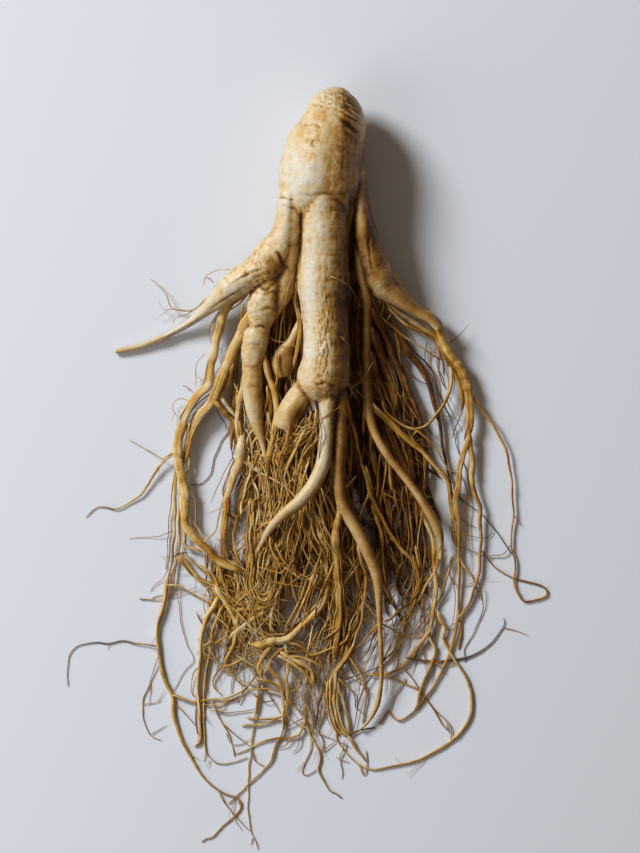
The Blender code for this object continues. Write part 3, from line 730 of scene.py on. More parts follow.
# Each rootlet: tone, width, width of its tip, height at its start and end as a share of the heap's,
# route (x, y).
CREAM, GOLD, OCHRE, BROWN, DARK = 0.84, 0.72, 0.62, 0.46, 0.22
LEFT_ROOTLETS = [
    # outermost ones from the left leg, down the outer left side
    (GOLD, 3.8, 3.3, 0.9, 0.9, [(-25, 74), (-32, 66), (-35.5, 57), (-37, 50), (-38.5, 44), (-39.5, 36),
     (-41, 33), (-46, 28), (-49, 22), (-51, 16), (-52, 10), (-52, 4), (-51, 0), (-50, -4), (-49, -10),
     (-49, -16), (-49, -22), (-46, -26), (-43, -29), (-40, -32), (-37, -35), (-33, -38), (-25, -40.5)]),
    (GOLD, 4.8, 2.6, 1.0, 0.8, [(-18, 70), (-20, 66), (-23, 62), (-27, 55), (-30, 48), (-33, 42), (-35, 36),
     (-37.5, 30), (-40, 26), (-43, 22), (-46, 17), (-47.5, 12), (-48.5, 8), (-50, 2)]),
    (CREAM, 2.6, 1.0, 1.0, 0.9, [(-21, 75), (-26, 70), (-30, 67), (-34, 65), (-37, 61), (-39, 55)]),
    (OCHRE, 2.6, 1.8, 0.7, 0.7, [(-30, 44), (-33, 34), (-36, 30), (-40, 26), (-43, 22), (-46, 17),
     (-47.5, 12)]),
    (OCHRE, 2.4, 1.2, 0.8, 0.7, [(-40.5, 34), (-44, 31), (-46, 28), (-48, 25)]),
    (GOLD, 2.2, 0.9, 0.8, 0.9, [(-47, 20), (-48, 16), (-47.8, 8), (-47.5, 2), (-49, -2)]),
    (GOLD, 1.1, 0.8, 0.9, 0.9, [(-50, -2), (-48, -6), (-46, -11), (-45, -17), (-45, -24)]),
    (BROWN, 0.9, 0.6, 0.5, 0.2, [(-52, 2), (-53.5, -2), (-54.5, -8), (-55, -14), (-55.8, -20),
     (-56, -24), (-56.5, -34), (-57, -40)]),
    (OCHRE, 1.8, 1.2, 0.8, 0.4, [(-51.5, 4), (-53, -4), (-53.3, -14), (-53.5, -24), (-54, -31),
     (-55, -38), (-56, -44)]),
    (OCHRE, 1.6, 1.0, 0.9, 0.4, [(-52, -16), (-51.5, -24), (-52, -32), (-53, -38), (-54, -45),
     (-56, -51)]),
    (CREAM, 2.5, 1.6, 0.9, 0.8, [(-51.5, 2), (-51, -4), (-50.5, -12), (-50, -20), (-49.5, -26),
     (-49, -30), (-46, -31), (-42, -33)]),
    # the long one that bows out and comes back under the fan
    (OCHRE, 2.2, 0.7, 0.5, 0.0, [(-56, -42), (-56.5, -46), (-58, -54), (-59.5, -60), (-60.5, -66),
     (-60.3, -70), (-60, -74), (-59, -79), (-57.5, -84), (-55, -89), (-54.2, -92), (-54.3, -97),
     (-53.2, -101), (-51, -107), (-48, -113), (-44.5, -119.5), (-41, -124), (-37, -127.5),
     (-33, -129.8), (-29, -131), (-27, -133), (-27.2, -135.5), (-29, -138), (-33, -141.5),
     (-36, -144.5), (-38.5, -147), (-41, -147.7), (-43, -149)]),
    (BROWN, 0.8, 0.4, 0.0, 0.0, [(-36, -128.5), (-33, -133.5), (-29.5, -138.5), (-26, -142),
     (-22, -145)]),
    # behind the lumpy leg and between it and the outer ones
    (GOLD, 2.4, 1.4, 0.9, 0.9, [(-24, 50), (-25, 45), (-26, 38), (-27, 30), (-28, 24), (-28.2, 18),
     (-27.8, 12), (-26, 7), (-24, 3), (-21, 0.5), (-19, -1), (-17, -3), (-15, -4)]),
    (CREAM, 2.8, 1.6, 0.8, 0.8, [(-26, 34), (-27.5, 26), (-28.4, 18), (-27, 11), (-25, 5), (-20, 0),
     (-18.5, -5), (-17.5, -10), (-17, -15), (-17.5, -21)]),
    (CREAM, 5.2, 2.0, 0.65, 0.5, [(-26, 16), (-27, 6), (-28, 2), (-30, -3), (-32, -9), (-34, -15)]),
    (GOLD, 3.2, 2.0, 1.0, 0.9, [(-17.5, 47), (-17, 43), (-15, 36), (-13, 28), (-13, 20), (-13.5, 14),
     (-15, 8), (-16, 2), (-15.7, -4), (-15.3, -12), (-14.8, -18), (-14, -22)]),
    (BROWN, 1.0, 0.8, 1.0, 0.9, [(-15, 34), (-15.5, 26), (-15.8, 20), (-16.8, 14), (-17, 10),
     (-18.5, 6), (-18.7, 1)]),
    (CREAM, 2.6, 1.6, 0.5, 0.4, [(-35, 31), (-34, 28), (-29, 22), (-25, 18)]),
    (BROWN, 3.0, 1.8, 0.35, 0.35, [(-39, 29), (-36, 26), (-33, 23), (-30, 20), (-27, 14)]),
    (BROWN, 1.0, 0.7, 0.7, 0.6, [(-27, 14), (-27.5, 7), (-30, 3), (-32, -1), (-33.5, -6), (-34, -10),
     (-32, -15), (-30, -20), (-27.5, -25), (-25, -29), (-23, -32)]),
    (OCHRE, 1.2, 0.8, 0.6, 0.6, [(-44, -29), (-42, -28.5), (-39, -26), (-37, -24), (-36, -20),
     (-35, -16), (-34.3, -13), (-33, -6)]),
    (BROWN, 3.5, 2.4, 0.4, 0.4, [(-32, -10), (-33, -18), (-34, -26), (-33, -36), (-30, -44)]),
    (OCHRE, 1.5, 1.0, 0.8, 0.8, [(-22.5, 6), (-23, 0), (-22, -4), (-20.5, -8), (-21, -14),
     (-21.5, -20), (-22, -24), (-22, -30)]),
    (CREAM, 1.6, 2.6, 0.8, 0.7, [(-23, 2), (-25, -8), (-26, -14), (-27, -20)]),
    (CREAM, 1.4, 1.8, 0.8, 0.7, [(-24, -7), (-23.5, -14), (-24, -19)]),
    (BROWN, 0.8, 0.5, 0.8, 0.7, [(-27, -6.5), (-23, -7), (-20, -8.5)]),
    (BROWN, 0.8, 0.5, 0.7, 0.7, [(-33, -14.5), (-29, -13.8), (-26, -12.5)]),
    (BROWN, 0.7, 0.5, 0.7, 0.7, [(-32, -16.5), (-28, -18.5), (-25, -20.5)]),
    (BROWN, 0.8, 0.5, 0.6, 0.6, [(-37, -27), (-34, -28.6), (-31, -29)]),
    (BROWN, 0.8, 0.5, 0.6, 0.6, [(-35, -23), (-32.5, -24.2), (-31, -25.5)]),
    (OCHRE, 2.2, 1.4, 0.7, 0.6, [(-12.5, 9), (-12, 4), (-10, 1), (-8.5, -4), (-8, -10), (-8, -20),
     (-9, -34), (-10.5, -48)]),
    (OCHRE, 2.0, 1.2, 0.6, 0.6, [(-5, 84), (-6, 78), (-9, 73), (-11, 68), (-12, 62), (-13, 54),
     (-13.5, 46), (-13, 40)]),
    (GOLD, 2.5, 1.5, 0.6, 0.6, [(-4, 78), (-5, 68), (-3, 57), (-4, 50), (-6, 42), (-8, 36)]),
    (OCHRE, 1.6, 1.0, 0.8, 0.7, [(-7, 80), (-8, 74), (-9.5, 66), (-11, 58), (-11.5, 50)]),
    (BROWN, 1.2, 0.8, 0.5, 0.5, [(-13, 60), (-14.5, 52), (-15, 44), (-15.5, 36), (-16, 28)]),
    # short pale curls beside the lumpy leg's end
    (CREAM, 1.4, 0.8, 0.9, 0.9, [(-18, 14), (-20.5, 13), (-22.5, 10), (-22, 6), (-20, 4)]),
    (CREAM, 1.3, 0.8, 0.95, 0.9, [(-19, 18), (-22, 16.5), (-24, 13), (-24.5, 8), (-23, 4)]),
    (GOLD, 1.2, 0.7, 0.9, 0.9, [(-17.5, 12), (-18.5, 8.5), (-21, 7.5), (-24, 9), (-25.5, 12)]),
    (CREAM, 1.2, 0.8, 0.9, 0.8, [(-16.5, 8), (-19, 5), (-20, 1), (-19.5, -3)]),
]
ROOTLET_TONES = [
    (0.0, tint(44, 22, 4)), (0.2, tint(110, 64, 12)), (0.4, tint(174, 117, 34)),
    (0.58, tint(212, 160, 64)), (0.76, tint(229, 191, 108)), (1.0, tint(238, 222, 182)),
]
# The heap that the rootlets make: y and the height of its top, y and the x of its middle.
HEAP_HEIGHTS = ((-153, 0.1), (-120, 0.5), (-100, 1.4), (-80, 3.4), (-60, 6.4), (-40, 10.2),
                (-20, 14.0), (0, 16.0), (30, 17.5), (60, 20.0), (90, 22.5))
HEAP_MIDDLES = ((-153, -8.0), (-80, -6.0), (-20, 2.0), (90, 5.0))
HEAP_HALF_WIDTH = 23.0
STRAND_STEP = 0.9
LAMP_SIDE_PAINTED_LIGHT = 0.07    # painted light: how much paler the left of the fan, towards the lamp, is painted than its middle, and the right darker
DRIED_THIN = 0.52    # share of its fresh width that the thinnest rootlet keeps
DRIED_PER_MM = 0.12  # and what each millimetre of width adds to that
HEAP_TOP_SHARE = 1.15
TAPER = 1.2              # how late along a rootlet it thins; 1 is evenly
KNOB_EVERY = 22          # one knob to so many millimetres
KNOB_SWELL, KNOB_LENGTH = (0.05, 0.22), (0.6, 1.4)
SWELL, FINE_SWELL = 0.045, 0.025     # how unevenly thick a rootlet is
FURROW_DEPTH, FLUTE_DEPTH = 0.14, 0.09     # two furrows and three flutes run round it
# painted shade along the furrow valleys: a darker tone and the soil colour mixed in
VALLEY_SHADE, VALLEY_SHADE_MIX = 0.12, 0.30
SWAY, FINE_SWAY = 0.20, 0.03     # how far a rootlet strays from its route
SLACK = 0.5              # how far it rises and sinks on the way
FORK_REACH = 2.6         # a rootlet that starts this near to another one grows out of it
FORK_EASE = 13.0         # and takes this long to reach its own height
HAIR_CLEARANCE = 0.5     # gap that a stiff dry hair keeps over what it lies on
OVER = 2.0               # height share of a hair that lies on whatever is below it
FAN_MIDDLE, FAN_HALF_WIDTH = 4.0, 48.0      # fine rootlets are rare outside this band
FOLLOWER_SPACING, FOLLOWER_SPREAD = 2.9, 2.8
FOLLOWER_WIDTHS = (0.35, 1.05)
TWIG_SPACING, TWIG_REACH = 42.0, 9.0
FINE_TWIG_SPACING, FINE_TWIG_REACH = 200.0, 8.0
MAP_GAP = 0.6            # bare strip round each rootlet in the map
# Places where the fan is thin, so that the floor or the shade below shows, and where it is thick:
# x, y, radius.
OPENINGS = [
    (18, 30, 8), (30, 44, 11), (42, 34, 12), (38, 52, 9), (-12.8, 56, 4), (-39, 8, 8), (-40, -8, 8),
    (-38, -20, 5), (-25, -81, 4.5), (-33, -87, 5), (-26, -24, 5), (-6, -60, 4), (32, -10, 8),
    (54, -40, 5), (36, -96, 12), (-30, -122, 12), (10, -122, 10), (52, -96, 8), (2, -37, 3),
    (-55, -20, 9), (-56, 10, 8), (-52, 30, 8), (-57, -45, 8), (-48, -60, 6), (-52, -84, 8),
    (28, 10, 12), (34, -8, 12), (40, -30, 10), (-20, -114, 10), (62, -30, 9), (72, -20, 12),
    (62, 0, 9), (66, 22, 9), (58, -60, 8), (62, -86, 9),
]
THICKETS = [(-19, -44, 10), (-30, -58, 9), (-28, -70, 8), (-8, -4, 12), (-12, 8, 9), (10, -66, 8)]

rootlet_skin = root_skin("rootlet_skin", ROOTLET_TONES, roughness=0.30, wrinkle=0.6, ring_share=0.2,
                         fibre_share=1.3, cloud_share=0.8)
grown_points = [axes[:, :4]]     # centre and radius of all that has grown so far


def heap_height(x, y):
    """Height of the top of the fan over a place on the floor."""
    places, heights = zip(*HEAP_HEIGHTS)
    height = np.interp(y, places, heights)
    places, middles = zip(*HEAP_MIDDLES)
    out = (x - np.interp(y, places, middles)) / HEAP_HALF_WIDTH
    return height / (1 + out ** 2)


def ripple(run, wavelength, rng, count=4):
    """A smooth random wave along a run, about -1 to 1."""
    wave = np.zeros(len(run))
    for _ in range(count):
        length = wavelength * rng.uniform(0.6, 1.8)
        wave += np.sin(2 * pi * (run / length + rng.uniform())) / count ** 0.5
    return wave


def fork_drop(path, run):
    """What brings a rootlet's start to the height of the root that it leaves."""
    others = np.vstack(grown_points)
    gap = np.hypot(others[:, 0] - path[0, 0], others[:, 1] - path[0, 1]) - others[:, 3]
    nearest = gap.argmin()
    if gap[nearest] > FORK_REACH:
        return 0.0
    t = np.clip(1 - run / FORK_EASE, 0, 1)
    return (others[nearest, 2] - path[0, 2]) * t * t * (3 - 2 * t)


def resting_height(path, lift):
    """Height of the highest root below each point of a hair, eased so that the hair spans the gaps."""
    others = np.vstack(grown_points)
    tops = lift.copy()
    for number, point in enumerate(path):
        near = others[np.hypot(others[:, 0] - point[0], others[:, 1] - point[1]) < others[:, 3]]
        if len(near):
            rise = near[:, 3] ** 2 - (near[:, 0] - point[0]) ** 2 - (near[:, 1] - point[1]) ** 2
            tops[number] = max(lift[number], (near[:, 2] + np.sqrt(rise)).max() + HAIR_CLEARANCE)
    for _ in range(6):
        tops[1:-1] = np.maximum(tops[1:-1], (tops[:-2] + tops[2:]) / 2)
    return tops


def strand(rng, tone, width, tip, rise, end_rise, route):
    """One rootlet: its rings of corners, and the numbers that its skin reads."""
    width, tip = (fresh * (DRIED_THIN + DRIED_PER_MM * fresh) for fresh in (width, tip))
    path = smooth_row([(*point, 0.0) for point in route], STRAND_STEP)[:, :3]
    run = np.concatenate(((0,), np.cumsum(np.linalg.norm(np.diff(path, axis=0), axis=1))))
    share = run / run[-1]
    radius = width / 2 * (1 + (tip / width - 1) * share ** TAPER)
    radius *= 1 + SWELL * ripple(run, 9.0, rng) + FINE_SWELL * ripple(run, 2.6, rng)
    for knob in rng.uniform(0, run[-1], int(run[-1] / KNOB_EVERY) + 1):
        radius *= 1 + rng.uniform(*KNOB_SWELL) * np.exp(-((run - knob) / rng.uniform(*KNOB_LENGTH)) ** 2)
    ends = np.minimum(share * run[-1], run[-1] - run) / np.maximum(radius, 0.1)
    radius *= np.sqrt(np.clip(ends * 0.3, 0.03, 1))
    along = directions(path)
    sway = np.column_stack((-along[:, 1], along[:, 0], np.zeros(len(run))))
    amount = SWAY * np.clip(share * 6, 0, 1)
    path = path + sway * (amount * ripple(run, 15.0, rng))[:, None]
    path = path + sway * (FINE_SWAY * ripple(run, 5.0, rng))[:, None]
    rise_here = rise + (end_rise - rise) * share
    lift = np.minimum(rise_here, HEAP_TOP_SHARE) * heap_height(path[:, 0], path[:, 1])
    if rise == OVER:
        lift = resting_height(path, lift)
    slack = np.clip(rise_here * 3, 0, 1) * np.clip(heap_height(path[:, 0], path[:, 1]) / 7, 0.05, 1)
    lift = lift + SLACK * slack * ripple(run, 18.0, rng)
    path[:, 2] = np.maximum(lift, FLOOR_CLEARANCE) + radius
    path[:, 2] = np.maximum(path[:, 2] + fork_drop(path, run), radius + FLOOR_CLEARANCE)
    grown_points.append(np.column_stack((path, radius)))
    if width > 0.95:
        around = 10 if width > 2.2 else 8
    else:
        around = 6
    return ringed(rng, path, radius, run, share, tone, around)


def ringed(rng, path, radius, run, share, tone, around):
    """Rings of corners round a path, slightly flattened, twisted and furrowed."""
    side, up = side_vectors(directions(path))
    angle = np.arange(around) * 2 * pi / around
    turn = rng.uniform(0, 2 * pi) + run / rng.uniform(9, 22)
    furrow = (1 + FLUTE_DEPTH * np.cos(3 * angle[None] + turn[:, None])
              + FURROW_DEPTH * np.cos(2 * angle[None] - turn[:, None]))
    # painted shade lines along the furrows
    valley = 4 * np.clip(1 - furrow, 0, 1).ravel()
    reach = radius[:, None] * furrow
    corners = (path[:, None] + side[:, None] * (reach * np.cos(angle))[..., None]
               + up[:, None] * (reach * np.sin(angle))[..., None])
    corners[..., 2] = np.maximum(corners[..., 2], 0.02)
    start = rng.uniform(0, 900)
    grain = np.stack((reach * np.cos(angle), reach * np.sin(angle),
                      np.broadcast_to(run[:, None] + start, reach.shape)), axis=-1)
    shade = tone + 0.10 * ripple(run, 20.0, rng) + 0.02 * ripple(run, 5.0, rng) - 0.18 * share ** 3
    # painted light: paler towards the lamp on the left, darker in the shade on the right
    shade = shade - LAMP_SIDE_PAINTED_LIGHT * np.clip(path[:, 0] / 40, -1, 1)
    soil_and_shade = 0.15 + 0.25 * np.clip(ripple(run, 8.0, rng) - 0.3, 0, 1)
    return {"corners": corners, "grain": grain, "run": run, "girth": 2 * pi * radius.max(),
            "tone": np.clip(np.repeat(shade, around) - VALLEY_SHADE * valley, 0, 1),
            "soil_and_shade": np.repeat(soil_and_shade, around) + VALLEY_SHADE_MIX * valley}


def crowding(x, y, z):
    """How likely fine rootlets are beside a rootlet at this place."""
    likely = 0.5 * np.clip(heap_height(x, y) / 11.0 - 0.12, 0.02, 1) * np.clip(z / 2.0 - 0.4, 0, 1)
    likely *= 0.1 + 0.9 / (1 + np.exp((abs(x - FAN_MIDDLE) - FAN_HALF_WIDTH) / 2.5))
    for thick_x, thick_y, radius in THICKETS:
        likely += 0.45 * np.exp(-((x - thick_x) ** 2 + (y - thick_y) ** 2) / radius ** 2)
    for open_x, open_y, radius in OPENINGS:
        likely *= 1 - 0.9 * np.exp(-((x - open_x) ** 2 + (y - open_y) ** 2) / radius ** 2)
    return likely


def followers(rng, grown):
    """Fine rootlets that run beside and below grown strands for a part of their way."""
    made = []
    for parent in grown:
        centre = parent["corners"].mean(axis=1)
        along = directions(centre)
        sway = np.column_stack((-along[:, 1], along[:, 0], np.zeros(len(centre))))
        for _ in range(rng.poisson(parent["run"][-1] / FOLLOWER_SPACING)):
            length = int(min(len(centre), rng.uniform(22, 105)))
            start = rng.integers(0, len(centre) - length + 1)
            part = slice(start, start + length)
            run = parent["run"][part] - parent["run"][start]
            if length < 8 or rng.uniform() > crowding(*centre[start + length // 2]):
                continue
            share = run / run[-1]
            gap = rng.normal(0, 1.5) + rng.normal(0, FOLLOWER_SPREAD) * share + 0.5 * ripple(run, 30.0, rng)
            gap = gap + 0.10 * ripple(run, 8.0, rng)
            path = centre[part] + sway[part] * gap[:, None]
            sink = rng.uniform(-0.12, 0.85) + rng.normal(0, 0.15) * share
            width = rng.uniform(*FOLLOWER_WIDTHS)
            radius = width / 2 * (1 - 0.55 * share ** 1.4) * (1 + 0.05 * ripple(run, 6.0, rng))
            radius[0] *= 0.4
            radius[-1] *= 0.2
            level = path[:, 2] * (1 - sink) + 0.4 * ripple(run, 14.0, rng)
            path[:, 2] = np.maximum(level, FLOOR_CLEARANCE) + radius
            # painted shade: the deeper a fine rootlet sinks into the fan, the darker its colour
            tone = 0.64 - 0.48 * np.clip(sink, 0, 1) + rng.normal(0, 0.12)
            made.append(ringed(rng, path, radius, run, share, tone, 5))
    return made


def twigs(rng, grown, spacing, reach):
    """Short side hairs that leave grown strands and curl away."""
    made = []
    for parent in grown:
        centre = parent["corners"].mean(axis=1)
        along = directions(centre)
        for _ in range(rng.poisson(parent["run"][-1] / spacing)):
            start = rng.integers(2, len(centre) - 2) if len(centre) > 6 else 2
            length = reach * rng.uniform(0.35, 1.3)
            count = max(5, int(length / 0.9))
            heading = np.arctan2(along[start, 1], along[start, 0])
            heading += rng.choice((-1, 1)) * rng.uniform(0.2, 0.9)
            curl = rng.normal(0, 0.08)
            turning = heading + np.cumsum(rng.normal(curl, 0.10, count))
            steps = np.column_stack((np.cos(turning), np.sin(turning))) * length / count
            path = np.zeros((count, 3))
            path[:, :2] = centre[start, :2] + np.cumsum(steps, axis=0)
            fall = np.linspace(0, 1, count) ** 1.4
            drop = rng.uniform(-0.5, 0.8) * length * 0.35
            path[:, 2] = np.maximum(centre[start, 2] - drop * fall + rng.normal(0, 0.3) * fall, 0.25)
            radius = rng.uniform(0.12, 0.24) * (1 - 0.75 * np.linspace(0, 1, count) ** 1.5)
            radius[-1] *= 0.3
            run = np.linspace(0, length, count)
            made.append(ringed(rng, path, radius, run, run / length, rng.uniform(0.38, 0.70), 4))
    return made


def bundle(name, grown):
    """One object made of many strands, with a map that gives every strand its own strip."""
    corners, faces, loops, first = [], [], [], 0
    pen_x, pen_y, shelf = 0.0, 0.0, 0.0
    order = sorted(range(len(grown)), key=lambda number: -grown[number]["girth"])
    strips = {}
    area = sum(one["run"][-1] * (one["girth"] + 2 * MAP_GAP) for one in grown)
    sheet = (area * 1.15) ** 0.5
    sheet = max(sheet, max(one["run"][-1] for one in grown) + 1)
    for number in order:
        one = grown[number]
        if pen_x + one["run"][-1] + MAP_GAP > sheet:
            pen_x = 0.0
            pen_y += shelf
            shelf = 0.0
        strips[number] = (pen_x + MAP_GAP / 2, pen_y + MAP_GAP / 2)
        pen_x += one["run"][-1] + MAP_GAP
        shelf = max(shelf, one["girth"] + MAP_GAP)
    size = max(sheet, pen_y + shelf)
    for number, one in enumerate(grown):
        rings, around = one["corners"].shape[:2]
        quads = tube_faces(rings, around, first)
        corners.append(one["corners"].reshape(-1, 3))
        faces += quads.tolist()
        ring = np.repeat(np.arange(rings - 1), around)
        corner = np.tile(np.arange(around), rings - 1)
        left, low = strips[number]
        u = left + one["run"]
        v = low + np.arange(around + 1) * one["girth"] / around
        loops.append(np.stack((
            np.column_stack((u[ring], v[corner])), np.column_stack((u[ring], v[corner + 1])),
            np.column_stack((u[ring + 1], v[corner + 1])), np.column_stack((u[ring + 1], v[corner]))),
            axis=1).reshape(-1, 2))
        for end, at in ((0, 0), (rings - 1, -1)):
            cap = [first + end * around + corner for corner in range(around)]
            faces.append(cap if end else cap[::-1])
            angle = np.arange(around) * 2 * pi / around
            loops.append(np.array((u[at], v[0])) + 0.05 * np.column_stack((np.cos(angle), np.sin(angle))))
        first += rings * around
    mesh = bpy.data.meshes.new(name)
    mesh.from_pydata((np.vstack(corners) * MM).tolist(), [], faces)
    uv = mesh.uv_layers.new(name="OFBake")
    uv.data.foreach_set("uv", (np.vstack(loops) / size).astype(np.float32).ravel())
    mesh.polygons.foreach_set("use_smooth", np.ones(len(faces), bool))
    set_number(mesh, "tone", np.concatenate([one["tone"] for one in grown]))
    set_number(mesh, "soil_and_shade", np.concatenate([one["soil_and_shade"] for one in grown]))
    set_vector(mesh, "grain", np.vstack([one["grain"].reshape(-1, 3) for one in grown]))
    mesh.materials.append(rootlet_skin)
    obj = bpy.data.objects.new(name, mesh)
    bpy.context.scene.collection.objects.link(obj)
    return obj


def grow(name, routes, seed, fine_beside):
    """A piece of rootlets along their routes with short twigs, and one of any fine ones beside them."""
    rng = np.random.default_rng(seed)
    grown = [strand(rng, *route) for route in routes]
    pieces = [bundle(name, grown + twigs(rng, grown, TWIG_SPACING, TWIG_REACH))]
    if fine_beside:
        fine = followers(rng, grown)
        fine = fine + twigs(rng, fine, FINE_TWIG_SPACING, FINE_TWIG_REACH)
        pieces.append(bundle("fine_" + name, fine))
    return pieces


for piece in grow("left_rootlets", LEFT_ROOTLETS, seed=20, fine_beside=True):
    grow_on_root(piece)


# ---------------------------------------------------------------- left hairs
# Single stiff hairs and the thinnest side rootlets that stray to the left, from the arm down to the
# floor beside the fan.

LEFT_HAIRS = [
    (OCHRE, 1.0, 0.5, 1.0, 0.9, [(-27, 77), (-30.5, 79.3), (-32, 80.3), (-36, 80.5), (-39, 79),
     (-41, 77.5), (-42, 74)]),
    (OCHRE, 0.8, 0.5, 0.9, 0.9, [(-41.5, 77.2), (-40, 77), (-37.5, 75)]),
    (OCHRE, 1.1, 0.4, 0.9, 0.9, [(-38, 66), (-40, 69), (-43.5, 66), (-47.5, 64), (-54, 65),
     (-55.5, 67), (-57, 70.5), (-59, 73.5), (-61.5, 75.5), (-64, 76.5)]),
    (BROWN, 0.6, 0.3, 0.9, 0.9, [(-46, 63.8), (-53, 64.3), (-58, 64.3), (-59, 66), (-60, 68.3)]),
    (BROWN, 0.6, 0.4, 0.8, 0.6, [(-46, 64), (-48, 63.2), (-51.5, 61.8), (-53.5, 60.3), (-53.8, 58.5)]),
    (BROWN, 0.6, 0.4, 0.7, 0.6, [(-37, 62), (-39.5, 56), (-38.5, 50), (-36, 46), (-34, 40)]),
    (BROWN, 0.6, 0.4, 0.5, 0.4, [(-41, 47), (-44, 44), (-45, 40), (-44.5, 36), (-45, 33)]),
    (BROWN, 0.6, 0.4, 0.5, 0.5, [(-50.5, 34), (-49, 33.5), (-46, 31.5)]),
    (BROWN, 0.6, 0.4, 0.7, 0.5, [(-45, 29), (-47.5, 28), (-51, 28.8), (-53.5, 27.5), (-54, 25),
     (-52, 21)]),
    (DARK, 0.7, 0.5, 0.02, 0.02, [(-37, 27), (-36, 23), (-34, 20), (-32.5, 17), (-32, 15.5),
     (-34.5, 12.5), (-36, 8.5), (-37.5, 5), (-38.5, 1), (-39, -1), (-41, -4), (-44, -6), (-48, -5.5)]),
    (OCHRE, 1.5, 0.5, 0.9, 0.0, [(-51.5, 9), (-53, 7.5), (-55, 6), (-57, 4.5), (-60, 1), (-62.5, -3),
     (-65, -7), (-67, -10), (-72, -13), (-77, -15.5), (-80, -15.2), (-84, -14.8), (-87, -16.5),
     (-89.5, -19)]),
    (OCHRE, 0.7, 0.3, 0.6, 0.1, [(-56, 5.3), (-57.5, 4.8), (-62, 7), (-67, 9.3), (-72, 12.3)]),
    (BROWN, 0.5, 0.3, 0.3, 0.0, [(-53, -24.4), (-56, -25), (-60, -26.2), (-66, -27), (-71.8, -27.5)]),
    (BROWN, 0.5, 0.3, 0.3, 0.1, [(-54, -34.4), (-56, -34.6), (-59.5, -34.6)]),
    (BROWN, 0.6, 0.3, 0.3, 0.0, [(-55.5, -39), (-57, -41), (-58.5, -43.5), (-61, -46), (-63.5, -49)]),
    (DARK, 0.9, 0.4, 0.1, 0.0, [(-60.4, -70.6), (-68, -69.5), (-74, -68.5), (-80, -69.5), (-85, -69),
     (-91, -70), (-94, -72), (-96, -75), (-96.4, -80), (-96.3, -87)]),
    (BROWN, 0.7, 0.4, 0.0, 0.0, [(-60, -74.5), (-62.5, -82), (-64, -87), (-66, -91), (-66.5, -95),
     (-66, -100), (-63, -106), (-58.5, -108.5)]),
    (BROWN, 0.5, 0.3, 0.0, 0.0, [(-66.5, -94), (-62, -93.5), (-58.5, -92.5)]),
    (BROWN, 0.5, 0.3, 0.0, 0.0, [(-63, -106), (-59.5, -103.8), (-56.5, -102)]),
    (BROWN, 0.7, 0.3, 0.1, 0.4, [(-68, -51.5), (-62, -52.2), (-58, -51.5), (-54, -50.3), (-50, -48.8),
     (-44, -47)]),
]
for piece in grow("left_hairs", LEFT_HAIRS, seed=21, fine_beside=False):
    grow_on_root(piece)
